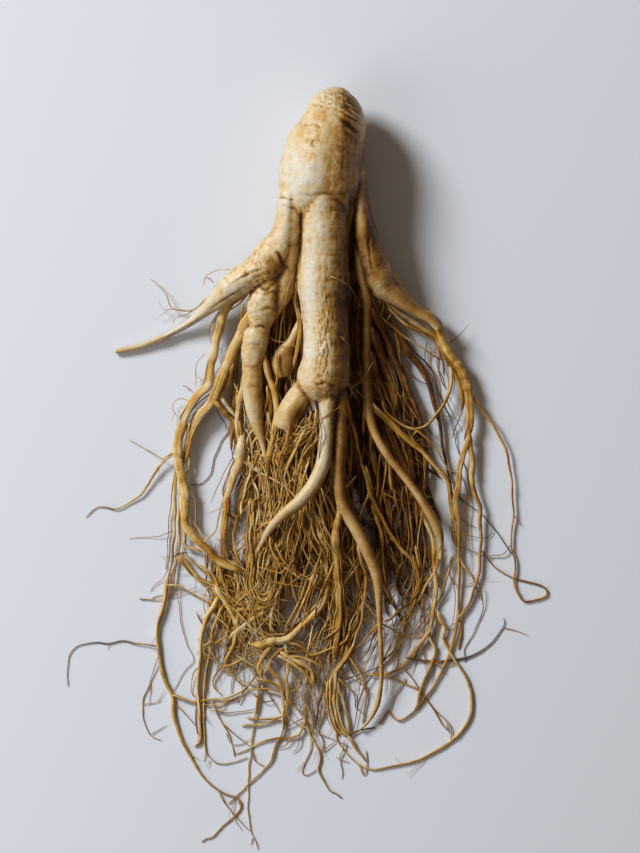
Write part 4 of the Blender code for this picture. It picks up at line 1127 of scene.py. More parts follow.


# ---------------------------------------------------------------- middle rootlets
# The rootlets that leave the foot of the centre leg and run down the middle of the fan, with dark ones
# deep behind the legs, dark as painted shade where the legs shade the floor.

MIDDLE_ROOTLETS = [
    # web of fine rootlets over the foot of the centre leg
    (OCHRE, 0.9, 0.6, 1.05, 1.05, [(-12, 20), (-12, 18), (-11.5, 13.5), (-9, 13), (-6, 14), (-2, 16)]),
    (OCHRE, 0.8, 0.6, 1.0, 1.05, [(-12, 10), (-9, 9.5), (-6, 12), (-3, 15.5), (-1, 19)]),
    (GOLD, 0.8, 0.6, 1.0, 1.05, [(-13, 13), (-11, 12), (-7, 10), (-4, 13), (-2, 18)]),
    (GOLD, 1.0, 0.7, 1.05, 0.9, [(4, 21), (3, 19), (-2, 17), (-5, 12), (-7, 6), (-8, 0)]),
    (OCHRE, 1.2, 0.8, 1.0, 0.9, [(4, 24), (3, 20), (1, 17), (-2, 14), (-4, 10), (-6, 5), (-7, -2)]),
    (GOLD, 1.2, 0.9, 1.0, 0.9, [(3, 24), (3, 17), (3, 13), (1, 8), (-1, 4), (-3, -2), (-4, -8),
     (-5, -14)]),
    (BROWN, 0.9, 0.6, 0.9, 0.8, [(5, 24), (5, 20), (5, 14), (4.5, 8), (4, 2)]),
    (GOLD, 1.2, 0.9, 1.1, 1.0, [(2, 32), (2, 29), (3, 25), (3, 22), (2, 16), (0, 10), (-2, 2)]),
    (GOLD, 1.0, 0.7, 1.05, 1.0, [(-8, 22), (-7, 17), (-8, 11), (-10, 5), (-11, -2), (-11, -8)]),
    (GOLD, 1.1, 0.7, 1.05, 0.9, [(-6, 20), (-5, 15), (-6, 8), (-7, 2), (-6, -6), (-4, -12)]),
    (OCHRE, 0.9, 0.6, 1.05, 0.9, [(-10, 21), (-11, 15), (-13, 9), (-14, 2), (-13, -6), (-12, -13)]),
    (CREAM, 3.5, 1.6, 0.9, 0.8, [(-5, 2), (-3, -2), (0, -8), (1, -14)]),
    (BROWN, 1.3, 0.8, 1.0, 0.6, [(-11.5, -19), (-13, -20), (-18, -22), (-22, -26), (-26, -30),
     (-29, -34), (-31, -37), (-34, -42)]),
    (CREAM, 2.4, 1.6, 0.9, 0.8, [(-8, -18), (-11, -20), (-13.5, -23), (-14, -26)]),
    # dark ones deep behind the legs: those beside the legs are painted shade, those fanning out to the
    # right are partly dark roots and partly painted shade
    (0.34, 3.6, 0.9, 0.4, 0.3, [(27, 70), (33, 60), (40, 48), (47, 38), (51, 26),
     (53.6, 12), (56, 0), (58, -12)]),
    (0.28, 4.2, 1.2, 0.4, 0.3, [(25, 66), (30, 56), (35, 44), (40, 33), (44, 22),
     (47, 8), (48, -8), (50, -18)]),
    (0.30, 4.4, 1.4, 0.3, 0.3, [(25, 58), (29, 46), (33, 34), (36, 22), (40, 8),
     (43, -6), (44, -22), (46, -36)]),
    (0.26, 4.4, 1.6, 0.3, 0.3, [(24, 50), (26, 38), (29, 26), (32, 12), (34, -4), (37, -20), (38, -36)]),
    (0.30, 4.0, 1.6, 0.3, 0.3, [(22, 44), (23, 30), (25, 14), (27, 0), (29, -16), (32, -30), (33, -46)]),
    (0.34, 3.4, 1.2, 0.5, 0.4, [(30, 22), (35, 10), (40, -2), (45, -16), (47, -30), (46, -44)]),
    (DARK, 3.8, 2.4, 0.35, 0.30, [(18.5, 84), (19.4, 64), (18.8, 44), (18.2, 24), (18.6, 4), (17, -12)]),
    (DARK, 3.2, 2.0, 0.25, 0.25, [(21.5, 76), (21.6, 58), (21.0, 40), (21.2, 20), (20.4, 0), (22, -16)]),
    (DARK, 2.6, 1.8, 0.15, 0.20, [(16.5, 70), (16.8, 52), (17.2, 34), (16.2, 14), (15, -6)]),
    (DARK, 3.4, 2.2, 0.35, 0.30, [(-5, 82), (-7, 66), (-6.6, 50), (-8.5, 32), (-11, 14), (-12, -6)]),
    (DARK, 3.0, 2.0, 0.30, 0.30, [(-9, 82), (-13, 66), (-15, 48), (-16.6, 30), (-17, 12), (-18, -6)]),
    (BROWN, 2.6, 1.6, 0.40, 0.30, [(-24, 66), (-27, 52), (-29, 38), (-30, 24), (-31, 8)]),
    (CREAM, 1.5, 0.8, 1.0, 0.9, [(7.5, 9), (9, 4), (9.5, -2), (8.5, -5)]),
    # beside and below the dark root
    (BROWN, 2.6, 1.8, 0.7, 0.7, [(14, 33), (15.5, 27), (16.5, 20), (17, 14), (17.5, 8), (16.5, 2),
     (15.5, -4), (15, -9), (15.5, -14)]),
    (BROWN, 1.0, 0.7, 0.8, 0.7, [(13, 30), (14, 22), (14, 13), (14.5, 5)]),
    (BROWN, 1.0, 0.7, 0.9, 0.8, [(10, 32), (11, 26), (11.5, 20), (10.5, 12)]),
    (OCHRE, 1.2, 0.7, 0.9, 0.8, [(15, 36), (18, 31), (20, 28.5), (22.5, 26)]),
    (OCHRE, 0.8, 0.5, 0.7, 0.6, [(24.5, 22), (25, 17), (25, 10), (24.5, 2), (24.8, -6), (25, -9)]),
    (OCHRE, 2.0, 1.4, 0.8, 0.7, [(16, 22), (19, 14), (20.5, 6), (22, 0), (24, -6), (25, -10),
     (27, -14), (29, -18), (31, -22), (34, -27), (38, -32), (43, -38), (44.3, -43), (44, -49),
     (38, -55), (33, -59.5), (30, -61)]),
    (OCHRE, 2.0, 1.4, 0.6, 0.6, [(23, 2), (25, -6), (26, -15), (28, -20), (29.5, -26), (30, -32),
     (30.5, -38), (31, -46)]),
    (GOLD, 1.0, 0.6, 0.9, 0.8, [(26, -6), (24, -11), (22, -14), (21, -18), (21.5, -21)]),
    (GOLD, 0.9, 0.6, 0.9, 0.8, [(28, -17), (27, -19), (25, -19.5), (24.5, -17.5), (26, -16.5)]),
    (GOLD, 1.2, 0.8, 0.95, 0.8, [(4, -4), (6, -8), (8, -11), (10, -15), (13, -21), (15, -26),
     (16.5, -31), (18, -36), (19, -40)]),
    (OCHRE, 1.0, 0.7, 1.0, 0.8, [(12, -12), (13, -16), (16, -22), (19, -28), (21, -34), (23, -39)]),
    (OCHRE, 1.0, 0.7, 0.95, 0.8, [(4, -7), (5, -12), (6, -17), (7, -23), (8, -27), (12, -31),
     (16, -36), (18, -39)]),
    (CREAM, 1.8, 1.2, 0.9, 0.8, [(-1, -12), (0, -17), (2, -21), (4, -26), (6, -32), (7.5, -38)]),
    (BROWN, 2.5, 2.0, 0.8, 0.8, [(1, -2), (2, -9), (3, -16), (5, -22), (6, -28), (7, -34), (7.5, -42)]),
    (OCHRE, 1.2, 0.8, 0.8, 0.8, [(11.5, -16), (12.5, -22), (13, -28), (15, -33), (17, -38)]),
    (BROWN, 0.8, 0.5, 0.9, 0.9, [(-1, -26), (0, -26.5), (4, -27)]),
    (BROWN, 0.8, 0.5, 0.9, 0.9, [(0, -29.5), (1, -30), (4, -32)]),
    (BROWN, 0.8, 0.5, 0.9, 0.9, [(-1, -31.5), (0, -32), (3, -35)]),
    (BROWN, 2.0, 1.6, 0.7, 0.7, [(-2, -15), (-2, -22), (-1, -26), (-2, -30), (-4, -34), (-5, -37),
     (-7, -42)]),
    (OCHRE, 2.5, 1.6, 0.8, 0.7, [(-1, -12), (-2, -18), (-4, -22), (-7, -27), (-9, -32), (-10, -36),
     (-11, -42)]),
    (CREAM, 3.0, 4.0, 0.80, 0.30, [(3, -22), (6, -28), (7, -36), (7.8, -42), (7.5, -48), (6, -53),
     (2, -58), (-3, -63), (-8, -67), (-15, -68.5), (-19, -70), (-24, -69)]),
    (GOLD, 3.5, 2.2, 0.9, 0.8, [(12.5, -16), (10.8, -26), (11, -36), (11.5, -42), (12, -47),
     (12.5, -54), (12.5, -60), (12, -65), (11, -70), (10.5, -76)]),
    (BROWN, 1.0, 0.7, 1.0, 1.0, [(9, -42.6), (10, -43), (14, -45.5), (18, -44)]),
    (GOLD, 1.5, 1.0, 0.8, 0.8, [(7, -24), (9, -28), (14, -33), (18, -38), (20, -43), (21.5, -48),
     (21.5, -53), (19, -57), (17, -62), (16.5, -68), (16, -72)]),
    (OCHRE, 1.2, 0.8, 0.8, 0.8, [(14, -22), (16, -28), (18, -34), (20, -40), (20.5, -46)]),
    (GOLD, 2.0, 1.4, 0.8, 0.8, [(20, -28), (21, -34), (22, -38), (23.5, -42), (23, -48), (22, -54),
     (21.5, -60), (19.5, -66), (17.5, -71), (14.5, -76), (12, -80), (9, -84)]),
    (BROWN, 0.9, 0.6, 0.9, 0.9, [(21, -36), (22, -37), (26, -40.5), (29.5, -42.5)]),
    (OCHRE, 1.0, 0.6, 0.9, 0.8, [(21, -50), (22, -52), (25, -56), (28, -60.5)]),
    (OCHRE, 1.4, 0.9, 0.8, 0.8, [(30, -59), (28, -62), (24, -66), (21, -70), (17.5, -72)]),
    (BROWN, 0.7, 0.5, 0.9, 0.9, [(17, -64), (16, -65), (13, -66.5)]),
    (OCHRE, 1.6, 1.0, 1.0, 0.9, [(16.5, -65), (15, -68), (11, -70.5), (6, -73), (2, -74), (0, -73.5),
     (-3, -71), (-7, -69.5)]),
    (OCHRE, 1.0, 0.7, 0.9, 0.9, [(12, -62), (11, -63), (6, -64.5), (3, -65)]),
    (OCHRE, 0.9, 0.6, 0.9, 0.8, [(4, -64), (3, -66), (1.5, -69), (1, -72)]),
    (GOLD, 1.8, 1.2, 0.9, 1.0, [(-15, -26), (-15, -30), (-13, -34), (-10, -38), (-6, -41),
     (-2, -43.5), (1, -43), (3, -40), (5.5, -32)]),
    (OCHRE, 1.1, 0.7, 0.9, 0.9, [(-9, -33), (-8, -36), (-5, -40), (-2, -42.5)]),
    (OCHRE, 1.1, 0.7, 0.9, 0.9, [(-10, -45), (-8, -45.5), (-3, -46.5), (2, -46)]),
    (GOLD, 1.8, 1.3, 0.7, 0.8, [(2, -41), (1, -46), (-1, -50), (-3, -55), (-5, -60), (-7, -65)]),
    (OCHRE, 1.6, 1.2, 0.7, 0.8, [(0, -42), (-1, -46), (-3, -51), (-5.5, -56), (-8, -61), (-9, -66)]),
    (CREAM, 3.2, 2.2, 0.6, 0.6, [(-11, -46), (-13, -52), (-14, -58), (-15, -65)]),
    (GOLD, 1.8, 1.2, 0.9, 0.9, [(-10, -66), (-9, -68), (-4, -70), (-1, -73)]),
]
for piece in grow("middle_rootlets", MIDDLE_ROOTLETS, seed=22, fine_beside=True):
    grow_on_root(piece)


# ---------------------------------------------------------------- right rootlets
# The rootlets of the right leg and of the crossing root, which arch over the outer right side and
# under the thick ones.

RIGHT_ROOTLETS = [
    # from the end of the right leg, over and down the outer right side
    (GOLD, 4.4, 3.0, 1.0, 1.6, [(28, 82), (31, 78), (34, 76), (38, 70), (44, 64), (49, 61), (52, 58),
     (53.5, 54), (55, 50), (57, 46), (61, 40), (64, 33), (64.5, 28), (65, 22), (65, 18), (64, 12)]),
    (GOLD, 2.9, 0.9, 1.5, 0.2, [(64.8, 17), (64, 12), (62, 5), (60.5, 0), (60, -6), (59.3, -12),
     (60, -18), (60.2, -26), (60.4, -33), (60.8, -42), (60.3, -50), (60.2, -57), (61.3, -62),
     (61.2, -67), (60, -72)]),
    (OCHRE, 2.4, 1.8, 1.0, 1.6, [(30, 77), (34, 72), (39, 66), (44, 61.5), (48, 59), (51, 55),
     (54, 48), (57, 42), (60, 36), (62, 29), (61.5, 24)]),
    (BROWN, 1.8, 1.0, 1.4, 1.2, [(56, 46), (59, 41), (62.5, 36), (64.5, 31), (65.4, 25), (64, 18),
     (62.5, 12)]),
    (CREAM, 2.2, 1.4, 1.1, 1.2, [(26, 76), (28, 71.5), (30, 69), (35, 64), (40, 60.5), (46, 57),
     (51, 54), (54, 50), (56, 45), (57.5, 40), (57.5, 35), (56, 30), (54, 26), (51, 22), (48, 18.5),
     (45, 17), (42, 16.5), (38, 18), (34, 21), (31, 24), (29.5, 28)]),
    (OCHRE, 1.8, 1.0, 1.0, 1.3, [(30, 70), (33, 65.5), (36, 61), (41, 57.5), (47, 54.5), (51, 51.5),
     (53, 48), (54, 44), (55, 38)]),
    (OCHRE, 1.5, 0.9, 0.9, 1.2, [(25, 74), (25, 70), (28, 64), (32, 59), (36, 55.5), (40, 53),
     (43, 51), (47, 48), (50, 46), (52.5, 44.5), (52.5, 40), (53.5, 36), (55.5, 32)]),
    (BROWN, 0.8, 0.6, 1.0, 1.0, [(39, 58), (41, 55), (42.5, 53), (43.5, 51)]),
    (CREAM, 1.2, 0.9, 1.1, 1.1, [(29, 71), (32, 66), (35, 62), (38, 59.5), (42, 56.5), (45, 55)]),
    (GOLD, 2.6, 1.8, 0.9, 0.8, [(23.5, 72), (23.5, 60), (22.6, 48), (22.4, 36), (22.8, 26), (22, 14)]),
    (BROWN, 1.6, 1.0, 0.5, 0.6, [(21, 74), (20.4, 60), (20.2, 46), (19.6, 32), (19.4, 22)]),
    (BROWN, 1.4, 0.9, 0.5, 0.5, [(26, 70), (27.5, 58), (28, 46), (27.5, 34), (29, 22), (33, 10)]),
    (OCHRE, 2.2, 1.2, 0.9, 0.8, [(30.5, 9), (32, 5), (33, 1), (33, -3), (34, -9)]),
    (OCHRE, 1.1, 0.7, 0.8, 0.7, [(31, 10), (31, 7), (31, 0), (30, -8), (28.5, -16)]),
    (OCHRE, 1.1, 0.6, 0.8, 0.7, [(33.5, 1), (34, -4), (35, -11), (37, -18)]),
    (CREAM, 2.2, 1.2, 1.0, 0.4, [(53, -28), (52, -36), (50, -42), (46.5, -47.5), (43, -54)]),
    # the second long one across, and its forks
    (GOLD, 2.8, 1.8, 0.95, 1.2, [(24.5, 28), (27.5, 24), (32, 20), (36, 16), (40, 12.5), (44, 9),
     (48, 5), (52, 1), (55, -3), (56.5, -8), (57.3, -14), (57.8, -20), (58.2, -26), (60, -31)]),
    (OCHRE, 1.2, 0.7, 1.2, 0.6, [(59.6, -31), (60.3, -34), (63, -39), (66, -43), (67.5, -46),
     (69, -52)]),
    (OCHRE, 1.4, 0.8, 1.1, 0.5, [(60, -31), (60, -33), (57, -38), (55, -45), (52.5, -52), (49, -57),
     (44, -63), (41, -67)]),
    (OCHRE, 1.5, 1.0, 1.0, 1.2, [(42, 14), (44, 16), (48, 12), (52, 8), (54, 4), (57, 0), (60, -1)]),
    (OCHRE, 0.9, 0.6, 0.9, 0.9, [(41, 14), (43, 11.5), (50, 8)]),
    (OCHRE, 1.0, 0.7, 0.9, 0.8, [(46, 7), (47, 6), (47.3, 0), (47, -6), (46.5, -11)]),
    (OCHRE, 1.2, 0.8, 0.8, 0.7, [(35, 16), (37, 12), (40, 4), (41, -3), (41, -12)]),
    (OCHRE, 1.0, 0.7, 0.9, 0.7, [(39, -6), (40, -10), (40.5, -18), (42, -26), (42, -33)]),
    (GOLD, 1.1, 0.7, 0.9, 0.6, [(46, -12), (46, -14), (45, -22), (44, -28), (43.5, -34), (44, -40)]),
    (OCHRE, 1.0, 0.6, 0.8, 0.8, [(27, -6), (28, -8), (34, -11), (42, -13.5)]),
    # fan of rootlets in the shade below the right leg
    (BROWN, 1.1, 0.7, 0.5, 0.6, [(24, 50), (27, 43), (30, 36), (33, 31), (37, 26), (42, 20),
     (48, 12)]),
    (BROWN, 1.0, 0.7, 0.5, 0.6, [(26, 50), (30, 42), (34, 35), (38, 28), (44, 21), (50, 14)]),
    (OCHRE, 1.1, 0.7, 0.8, 0.8, [(28, 38), (30, 33), (32, 28), (36, 23), (41, 19), (44, 16.5)]),
    (BROWN, 0.9, 0.6, 0.5, 0.5, [(40, 50), (36, 46), (32, 41), (28, 36)]),
    (BROWN, 0.9, 0.6, 0.5, 0.5, [(36.5, 52), (36.5, 47), (37, 44), (40, 40), (43, 37), (48, 34)]),
    (OCHRE, 0.8, 0.5, 1.2, 1.0, [(50, 51), (51.5, 46), (52, 41), (54, 37), (55, 33)]),
    (OCHRE, 0.7, 0.5, 1.2, 1.0, [(52, 51), (50, 46), (49.5, 42), (51, 38), (53, 34)]),
    (GOLD, 0.7, 0.5, 1.3, 1.0, [(53, 52), (52.5, 47), (54.5, 42), (56, 37), (56.5, 30), (59, 25)]),
    (OCHRE, 0.6, 0.4, 1.1, 1.0, [(49, 52), (48, 47), (48.5, 43), (50.5, 40)]),
    (BROWN, 0.7, 0.3, 1.3, 1.8, [(53, 48), (55, 50), (60, 53.5), (62, 56), (64.5, 58.5)]),
    (BROWN, 0.8, 0.5, 1.0, 1.0, [(55, 30), (56, 27), (59, 21), (62, 15)]),
    # middle one down to the right loop
    (GOLD, 2.5, 1.6, 1.5, 0.5, [(64.6, 16), (65, 10), (66, 4), (65.5, -2), (66, -6), (67.5, -11),
     (69, -15), (69, -20), (69, -26), (69, -32), (69, -36), (68.5, -41), (67, -46), (65, -52),
     (63, -56), (60.5, -60)]),
    (OCHRE, 0.7, 0.5, 0.6, 0.5, [(58, -34), (57, -38), (57, -43), (59, -46), (64, -45.5), (68, -44)]),
    (OCHRE, 1.6, 1.0, 0.5, 0.5, [(60.5, -58), (60, -60), (59, -66), (57, -72), (55.5, -76),
     (53.5, -81), (50, -87), (47, -91), (44, -95), (40, -98.5), (37, -100.3), (35, -99.8), (33, -98),
     (32, -96.3), (28, -102)]),
    (OCHRE, 0.8, 0.5, 0.5, 0.5, [(39, -83), (37, -87), (34.5, -91), (33, -95), (32, -96.3)]),
    (OCHRE, 0.8, 0.5, 0.5, 0.4, [(62, -58), (60.5, -60.5), (57, -62.5), (55.5, -64.5)]),
    (CREAM, 1.8, 0.9, 0.4, 0.0, [(52, -56), (53, -60), (55, -63), (54.3, -67), (56, -71), (58.5, -76),
     (61, -79.5), (63.5, -83), (65, -88), (65.3, -94), (64.8, -99), (62, -104), (57, -108.5),
     (52, -112), (46, -115.5), (41, -117), (36, -118), (32, -119), (27, -120), (23, -119), (18, -116),
     (14.5, -112.5), (11.8, -108), (11.5, -104)]),
    (CREAM, 2.4, 1.4, 0.9, 0.5, [(44, -9), (46, -14), (47, -20), (49.5, -26), (50.5, -32), (51, -40),
     (51.2, -48), (50.8, -54), (50, -60), (48, -65), (49, -68), (51, -71), (51, -74), (49, -79),
     (46, -85), (44.5, -90), (44, -94), (42.5, -97)]),
    (GOLD, 1.2, 0.8, 0.9, 0.5, [(43, -30), (44, -37), (44.4, -44), (43.8, -50), (41, -56), (38.5, -62),
     (37.5, -68), (36, -72), (34, -74), (30, -78)]),
    (OCHRE, 1.1, 0.7, 0.8, 0.5, [(41, -34), (42.5, -42), (42, -50), (39.5, -57), (37, -63), (36, -69),
     (33, -75), (29, -79)]),
    (CREAM, 0.9, 0.6, 0.9, 0.6, [(42, -34), (43.5, -45), (41.5, -53), (38, -60), (34.5, -65),
     (33.5, -70), (31, -74)]),
    (CREAM, 0.9, 0.6, 0.8, 0.5, [(38, -60), (36, -66), (34, -72), (31, -75), (27, -79)]),
    (OCHRE, 1.3, 0.8, 0.7, 0.5, [(28, -60), (30, -61.5), (34, -64), (38, -66), (42, -66.5),
     (47, -65)]),
    (OCHRE, 1.5, 1.0, 0.6, 0.4, [(49, -62), (47.5, -65), (44, -72), (42, -76)]),
    (GOLD, 2.0, 1.3, 0.6, 0.5, [(50, -62), (47, -67), (43, -72), (38, -78), (34, -81), (29, -82),
     (24, -82)]),
    (OCHRE, 1.0, 0.6, 0.5, 0.3, [(36, -77), (38, -79), (42, -84), (45, -88)]),
    (OCHRE, 1.2, 0.8, 0.6, 0.0, [(26, -81), (30, -82), (35, -83.5), (40, -86), (44, -88), (47, -91),
     (51, -97), (54, -102), (56.5, -104.5)]),
    (OCHRE, 0.8, 0.5, 0.1, 0.3, [(57.3, -109), (57.2, -103), (55, -100), (51, -96), (47.5, -92)]),
]
for piece in grow("right_rootlets", RIGHT_ROOTLETS, seed=23, fine_beside=True):
    grow_on_root(piece)


# ---------------------------------------------------------------- right hairs
# Single thin rootlets that stray to the right, one of them with a small loop at its end.

RIGHT_HAIRS = [
    (OCHRE, 1.5, 0.9, 1.4, 0.0, [(64, 31), (66, 29), (68, 27), (71, 22.5), (75, 17), (78, 11),
     (80, 6), (81.2, 0), (81.7, -8), (82.2, -14), (82.3, -18), (81.8, -24), (81.3, -30), (81.8, -33),
     (83, -36), (83.2, -40), (82.5, -44), (83.5, -48), (86, -52), (88, -52.7), (92, -51.8),
     (95, -50.5), (95.8, -49), (94.5, -47), (91, -45.5), (87, -44.5), (82, -43), (78, -41), (75, -39),
     (72, -35.5), (69.5, -32)]),
    (BROWN, 0.6, 0.3, 0.0, 0.0, [(82, -16), (82.5, -18), (84, -20), (86, -22.5)]),
    (DARK, 0.8, 0.6, 1.0, 0.1, [(58, -7), (60, -10), (65, -14), (69, -17), (72, -20.5), (76, -25.5),
     (80, -31), (81.5, -33.5)]),
    (BROWN, 0.8, 0.5, 0.1, 0.8, [(81, -30), (80, -31.6), (78, -33.5), (75, -34), (71, -34.3),
     (66, -32.5), (60, -30)]),
    (BROWN, 0.7, 0.4, 0.9, 0.3, [(57, -22), (58, -24), (64, -26), (70, -27), (73, -26), (74, -23.5),
     (73.5, -20)]),
    (BROWN, 0.7, 0.4, 0.9, 0.8, [(59, -17), (61, -19), (64, -21), (68, -23)]),
    (DARK, 1.4, 0.5, 0.4, 0.0, [(39, -75), (42, -75.5), (48, -76.3), (55, -76.5), (60, -75.7),
     (64, -75), (69, -72.5), (74, -68.5), (78, -63.5), (79, -61), (78.3, -59)]),
    (DARK, 0.7, 0.4, 0.4, 0.3, [(44, -74), (43, -75), (42, -78)]),
    (CREAM, 0.9, 0.5, 0.2, 0.1, [(48, -77), (50, -77.5), (56, -78.3), (60, -77.6)]),
    (BROWN, 0.7, 0.5, 0.4, 0.0, [(69, -46), (70, -51), (70.3, -55), (68.5, -60), (66.5, -65),
     (64, -69), (62.5, -72.5), (63.2, -76.5), (62, -76.8)]),
    (OCHRE, 0.7, 0.3, 0.9, 0.3, [(60, 2), (63, -6), (64.5, -14), (64, -24), (65.5, -34), (64, -42)]),
]
for piece in grow("right_hairs", RIGHT_HAIRS, seed=24, fine_beside=False):
    grow_on_root(piece)


# ---------------------------------------------------------------- lower rootlets
# The thin ends of the fan, which lie on the floor one by one.

LOWER_ROOTLETS = [
    # flat pale sheet and the strips below it
    (CREAM, 2.2, 1.6, 0.7, 0.6, [(-13, -74), (-10, -75), (-6, -77.5), (-2, -81), (0, -83), (3, -87)]),
    (CREAM, 2.6, 2.0, 0.6, 0.6, [(-12, -72), (-8, -75), (-3, -77), (1, -80), (2, -86)]),
    (GOLD, 2.0, 1.2, 0.7, 0.7, [(-11, -75), (-5, -75), (1, -76), (6, -79)]),
    (GOLD, 2.2, 1.2, 0.6, 0.4, [(-8.5, -66), (-9, -72), (-8, -78), (-8.5, -84), (-8, -88),
     (-8.5, -94), (-9.5, -100), (-10, -105)]),
    (BROWN, 0.8, 0.5, 0.6, 0.6, [(-9, -88), (-7, -88), (-1, -89.5)]),
    (BROWN, 0.8, 0.5, 0.6, 0.7, [(-7, -88.6), (-5, -88), (0, -84.5)]),
    (BROWN, 0.9, 0.5, 0.5, 0.4, [(-8, -91), (-5, -95), (-2, -99)]),
    (DARK, 1.0, 0.6, 0.5, 0.8, [(13, -84.6), (15, -84), (20, -82), (24, -80.5), (28, -78.7), (32, -75),
     (36, -71)]),
    (BROWN, 1.2, 0.6, 0.6, 0.3, [(12, -83), (13, -84), (16, -87), (18.5, -90), (19, -96)]),
    (OCHRE, 1.5, 0.8, 0.6, 0.3, [(16, -73), (17, -75), (21, -81), (22, -85), (23.5, -90), (22.5, -96),
     (22, -102)]),
    (OCHRE, 2.0, 1.6, 0.8, 0.7, [(18, -70), (17, -72), (14, -77), (11, -81), (8.5, -84.5), (10, -88)]),
    (GOLD, 1.6, 1.3, 0.9, 0.7, [(16, -70), (15, -73), (12.4, -78), (9.8, -82), (9.2, -88), (9.6, -94)]),
    (CREAM, 1.8, 1.4, 0.8, 0.5, [(11, -80), (10.6, -86), (10.4, -92), (11.4, -98), (13, -103), (16, -107)]),
    (GOLD, 1.6, 1.3, 0.9, 0.5, [(9.2, -83), (8.9, -89), (9.2, -95), (10.4, -101), (13, -105), (17, -107)]),
    (GOLD, 1.5, 1.2, 0.8, 0.5, [(12, -84), (12.6, -88), (13.8, -92), (15.2, -97), (16, -101), (17, -106)]),
    (OCHRE, 1.4, 1.1, 0.7, 0.4, [(8.0, -84), (7.7, -90), (8.2, -96), (9.6, -102), (13, -106.5)]),
    (CREAM, 1.3, 1.0, 0.9, 0.5, [(11.8, -88), (12.0, -93), (12.6, -98), (14, -103), (17, -107)]),
    (DARK, 1.2, 0.8, 0.4, 0.4, [(15, -107), (17, -106), (20, -104.5), (24, -103.5), (27, -103)]),
    (CREAM, 2.0, 1.0, 0.4, 0.1, [(15.5, -106), (17, -108), (19, -111), (21, -114), (23, -117)]),
    (OCHRE, 0.9, 0.5, 0.1, 0.1, [(19, -117), (20.5, -119), (21.5, -122), (23, -121.5), (23.5, -118),
     (23, -112)]),
    (BROWN, 0.8, 0.4, 0.2, 0.0, [(14.5, -108), (14, -112), (13, -115), (13.5, -121), (13.3, -124)]),
    (BROWN, 0.7, 0.4, 0.2, 0.1, [(11, -115), (14, -116.5), (16.5, -116.8)]),
    # bottom
    (GOLD, 1.6, 0.8, 0.6, 0.0, [(2, -62), (0.5, -70), (-0.5, -76), (-0.5, -84), (-1, -92), (-1.5, -98),
     (0, -104), (2, -108.5), (4.5, -112.5), (5, -116), (4.3, -120), (6, -124), (8.5, -128),
     (11, -129.5), (13.8, -131.8)]),
    (BROWN, 0.8, 0.5, 0.4, 0.0, [(3, -94), (2, -100), (1, -110), (0, -114), (-1.5, -118),
     (-2.3, -121), (-1, -122.4), (1.5, -121.5), (3.5, -120)]),
    (DARK, 1.2, 0.7, 0.6, 0.3, [(7, -82), (6, -88), (4.5, -94), (3.5, -100), (2.5, -104)]),
    (OCHRE, 1.0, 0.6, 0.5, 0.2, [(7, -90), (6, -96), (5.5, -100), (4, -104), (5.5, -107), (6, -110),
     (5.5, -112.5)]),
    (BROWN, 0.7, 0.4, 0.2, 0.2, [(5, -112.4), (6, -112), (9, -110), (11.5, -108.5)]),
    (GOLD, 1.3, 0.7, 0.4, 0.3, [(-9.5, -94), (-10, -98), (-10.3, -104), (-12, -108), (-13.5, -112),
     (-15, -117), (-18, -120), (-21, -123), (-25, -127), (-29, -131), (-32, -134)]),
    (OCHRE, 1.4, 0.7, 0.4, 0.1, [(-1, -100), (-2.5, -104), (-4, -106), (-8, -107.3), (-13, -107.5),
     (-18, -109), (-21, -110), (-25, -112), (-29, -114)]),
    (BROWN, 0.9, 0.5, 0.4, 0.3, [(-1.5, -99.4), (-3, -100), (-9.5, -103.5)]),
    (BROWN, 0.8, 0.5, 0.3, 0.2, [(-6, -107.6), (-7.5, -109), (-9, -110.5), (-13, -111.5)]),
    (BROWN, 0.8, 0.4, 0.3, 0.1, [(-3, -105), (-3.5, -107), (-4, -110.5), (-6, -113.5)]),
    (BROWN, 0.8, 0.5, 0.2, 0.1, [(-23, -112), (-22, -114.5), (-21, -117), (-17, -119)]),
    (OCHRE, 1.4, 0.9, 0.3, 0.4, [(-27, -102.4), (-21, -102), (-15, -100.5), (-11, -99), (-9.5, -97)]),
    (CREAM, 1.1, 0.6, 0.4, 0.0, [(-18, -82), (-20, -90), (-21, -96), (-22, -102), (-22.5, -108),
     (-23, -114), (-24, -120), (-24, -130), (-24, -138), (-23, -144), (-21, -149), (-20, -152.2)]),
]
for piece in grow("lower_rootlets", LOWER_ROOTLETS, seed=25, fine_beside=True):
    grow_on_root(piece)


# ---------------------------------------------------------------- lower left tangle
# Where the left and the middle rootlets meet they are matted together, round a small bun of nested
# loops.

